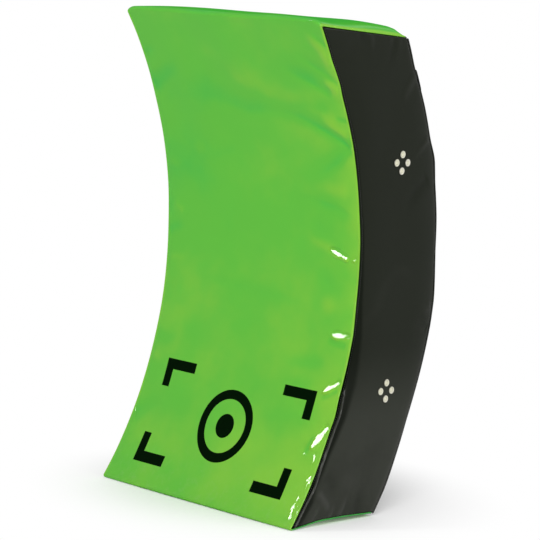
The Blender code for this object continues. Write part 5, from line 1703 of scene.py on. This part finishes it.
def makeAnchor(level, levelName, sign, sideName, body):  # a patch and the webbing's tab, with a sewn box and cross
    angle, tag = handleAngle(level), levelName + sideName
    middle = sign * (handle.gripHalf + handle.reach + 0.0003 + handle.tab / 2)
    halfX, halfArc = handle.tab / 2 + handle.margin, handle.webbing / 2 + handle.margin
    laidPatch("anchorPatch" + tag, body + "_patch_" + sideName.lower(), middle, angle, halfX, halfArc,
              handle.patchLow, handle.patchSheet, handle.patchCorner)
    addThread("anchorStitches" + tag, [rimStitches(middle, angle, halfX, halfArc, 0.0014, handle.patchCorner,
                                                   0.0038)])
    half = handle.tab / 2
    mesh, uv = sewnPatch(middle, angle, half, handle.webbing / 2, handle.foot, handle.sheet,
                         handle.tabCorner)
    addSolid("anchorTab" + tag, mesh, blackWebbing, "shield", body + "_tab_" + sideName.lower(), uv=uv)
    top = handle.foot + handle.sheet - 0.0001
    corners = np.array([(-1, -1), (1, -1), (1, 1), (-1, 1)]) * (half - 0.004, handle.webbing / 2 - 0.0035)
    runs = []
    for order in ((0, 1, 2, 3, 0), (0, 2), (3, 1)):
        path = corners[list(order)]
        dense = pointsAt(path, np.linspace(0, lengthAlong(path)[-1], 300))
        runs.append(stitchRun(*onBack(middle + dense[:, 0], angle, dense[:, 1], top), 0.0028, 0.0023))
    addThread("tabStitches" + tag, runs)


def makeLeg(level, levelName, sign, sideName, body):  # the strap's middle line is a cubic, level at both ends
    far, near, reach = handle.gripHalf + handle.reach, handle.gripHalf, handle.reach
    crownDrop = float(backPoint(far, 0.0, 0.0, 0.0)[1] - backPoint(0.0, 0.0, 0.0, 0.0)[1])
    foot = handle.foot + handle.sheet / 2 + crownDrop
    t = np.linspace(0, 1, 33)
    weights = np.stack([(1 - t) ** 3, 3 * t * (1 - t) ** 2, 3 * t * t * (1 - t), t ** 3], -1)
    x = weights @ np.array([far, far - reach / 2, near + reach / 2, near])
    height = weights @ np.array([foot, foot, handle.standoff, handle.standoff])
    spine = handlePoint(level, sign * x, 0 * x, height)
    mesh, uv = strapMesh(spine, level)
    leg = addMesh("strapLeg" + levelName + sideName, outward(*mesh), blackWebbing, uv)
    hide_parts(body + "_leg_" + sideName.lower())
    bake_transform(leg)


def makeHandles():  # one stuffed sleeve for both grips, each with its inside, anchors and legs
    shape = gripSkin()
    local, groups = gripRelief(readPoints(shape.data).reshape(-1, 3).astype(float)), readFaces(shape.data)
    bpy.data.objects.remove(shape)
    for level, levelName in levels:
        body = "handle_" + levelName.lower()
        points = handlePoint(level, local[:, 0], local[:, 1], handle.standoff + local[:, 2])
        sleeve = addSolid("gripSleeve" + levelName, (points, groups), blackVinyl, body, body + "_grip_sleeve")
        makeGripSeam(level, levelName, body, local)
        makeGripInside(level, levelName, body)
        for sign, sideName in sides:
            makeAnchor(level, levelName, sign, sideName, body)
            makeLeg(level, levelName, sign, sideName, body)


makeHandles()
print("handles made")


# Seam stitches

seam = Facts(
    inset=0.003, pitch=0.0036, length=0.0026, hems=(0.003, 0.0075), hemEnd=0.006, low=0.01, high=0.004,
    backInset=0.0065,
)


def backStitches(x, z):  # stitches along a line on the back
    line, out = alongNormal(backSurface, x, z, 0.001)
    return stitchRun(line, -out)


def makeSeamStitches():  # beside the sides' seams, along the zip and up the back's seams
    along, share = np.linspace(0.004, 0.996, 1400), seam.inset / sideDeep
    for sign, name in sides:
        runs = []
        for u in (share, 1 - share):
            line, out = alongNormal(lambda a, b: sidePoint(a, b, sign)[0], np.full_like(along, u), along, 0.0015)
            runs.append(stitchRun(line, sign * out, seam.pitch, seam.length))
        addThread("seamStitches" + name, runs)
    xs = np.linspace(-halfWidth + seam.hemEnd, halfWidth - seam.hemEnd, 900)
    hems = [zipHeight + side * (zipHalfOpening + off) for side in (-1, 1) for off in seam.hems]
    addThread("zipHemStitches", [backStitches(xs, np.full_like(xs, z)) for z in hems])
    z = np.linspace(seam.low, zipHeight - zipHalfOpening - seam.high, 1200)
    addThread("backSeamStitches", [backStitches(np.full_like(z, sign * (halfWidth - seam.backInset)), z)
                                   for sign in (-1, 1)])


makeSeamStitches()
print("stitches made")


# Floor, light and camera

studio = Facts(
    world=0.56, floor=(0.95, 0.95, 0.95, 1), floorSize=9.0, floorZ=-0.0006, shadow=0.16, white=0.42,
    target=(0.0, 0.0, 0.4),
)
lamps = {
    "key": {"place": (1.9, -2.7, 2.2), "size": (1.5, 1.2), "power": 52.0},
    "fill": {"place": (2.2, 1.7, 2.6), "size": (1.8, 1.6), "power": 26.0},
    "edge": {"place": (3.7, -0.35, 0.5), "size": (0.35, 0.9), "power": 24.0},
    "glint": {"place": (-1.9, -2.8, 2.6), "size": (0.55, 0.45), "power": 36.0},
    "rear": {"place": (-1.2, 2.8, 2.6), "size": (2.0, 1.6), "power": 16.0},
}
camera = Facts(place=(2.57762, -2.76261, 0.85033), yaw=43.333, pitch=7.214, roll=3.707, lens=153.25)


def seenDirectly(tree):  # 1 for what is seen, straight or in a gloss, 0 for light passed on
    path = place(tree, "LightPath").outputs
    return calc(tree, "MAXIMUM", path["Is Camera Ray"],
                calc(tree, "MAXIMUM", path["Is Glossy Ray"], path["Is Transmission Ray"]))


def makeFloor():  # pale paper, plain white away from the shield
    half = studio.floorSize / 2
    points = np.array([(x * half, y * half, studio.floorZ) for x, y in ((-1, -1), (1, -1), (1, 1), (-1, 1))])
    material, tree, where = startMaterial("floorPaper")
    finished(material, {"Base Color": studio.floor, "Roughness": 0.9, "Specular IOR Level": 0.1})
    away = place(tree, "VectorMath", {0: where["Object"]}, operation="LENGTH").outputs["Value"]
    share = scaled(tree, ramp(tree, away, studio.shadow, studio.white), seenDirectly(tree))
    white = place(tree, "Emission", {"Color": (1, 1, 1, 1), "Strength": 1.0}).outputs[0]
    plain = tree.nodes["Principled BSDF"].outputs[0]
    mixed = place(tree, "MixShader", {0: share, 1: plain, 2: white}).outputs[0]
    feed(tree, tree.nodes["Material Output"].inputs["Surface"], mixed)
    addMesh("floor", (points, [np.array([[0, 1, 2, 3]])]), material)


def makeWorld():  # even light all round, plain white where the camera sees it
    world = bpy.data.worlds.new("studio")
    bpy.context.scene.world = world
    world.use_nodes = True
    tree = world.node_tree
    background = tree.nodes["Background"].inputs
    feed(tree, background["Color"], (1, 1, 1, 1))
    feed(tree, background["Strength"],
         scaled(tree, seenDirectly(tree), 1.0 - studio.world, studio.world))


def addHolder(name, data):  # an object in the scene for a lamp or a camera
    holder = bpy.data.objects.new(name, data)
    bpy.context.scene.collection.objects.link(holder)
    return holder


def makeLamps():  # flat lamps that face the middle of the shield
    for name, facts in lamps.items():
        lamp = bpy.data.lights.new(name + "Lamp", "AREA")
        lamp.shape = "RECTANGLE"
        lamp.size, lamp.size_y = facts["size"]
        lamp.energy = facts["power"]
        holder = addHolder(name + "Lamp", lamp)
        holder.location = facts["place"]
        holder.rotation_mode = "QUATERNION"
        way = np.array(studio.target) - np.array(facts["place"])
        holder.rotation_quaternion = type(holder.location)(way).to_track_quat("-Z", "Y")


def makeCamera():  # its way back from yaw and pitch, then turned by roll
    yaw, pitch, roll = (radians(camera[key]) for key in ("yaw", "pitch", "roll"))
    back = np.array([sin(yaw) * cos(pitch), -cos(yaw) * cos(pitch), sin(pitch)])
    right = np.array([cos(yaw), sin(yaw), 0])
    up = np.cross(back, right)
    turned = [cos(roll) * right + sin(roll) * up, cos(roll) * up - sin(roll) * right, back]
    data = bpy.data.cameras.new("camera")
    data.lens, data.sensor_width = camera.lens, 36
    data.clip_start, data.clip_end = 0.05, 60
    holder = addHolder("camera", data)
    matrix = [[float(turned[k][row]) for k in range(3)] + [camera.place[row]] for row in range(3)]
    holder.matrix_world = type(holder.matrix_world)(matrix + [[0, 0, 0, 1]])
    bpy.context.scene.camera = holder


makeFloor()
makeWorld()
makeLamps()
makeCamera()
bpy.context.scene.view_settings.view_transform = "Standard"
print("studio made")
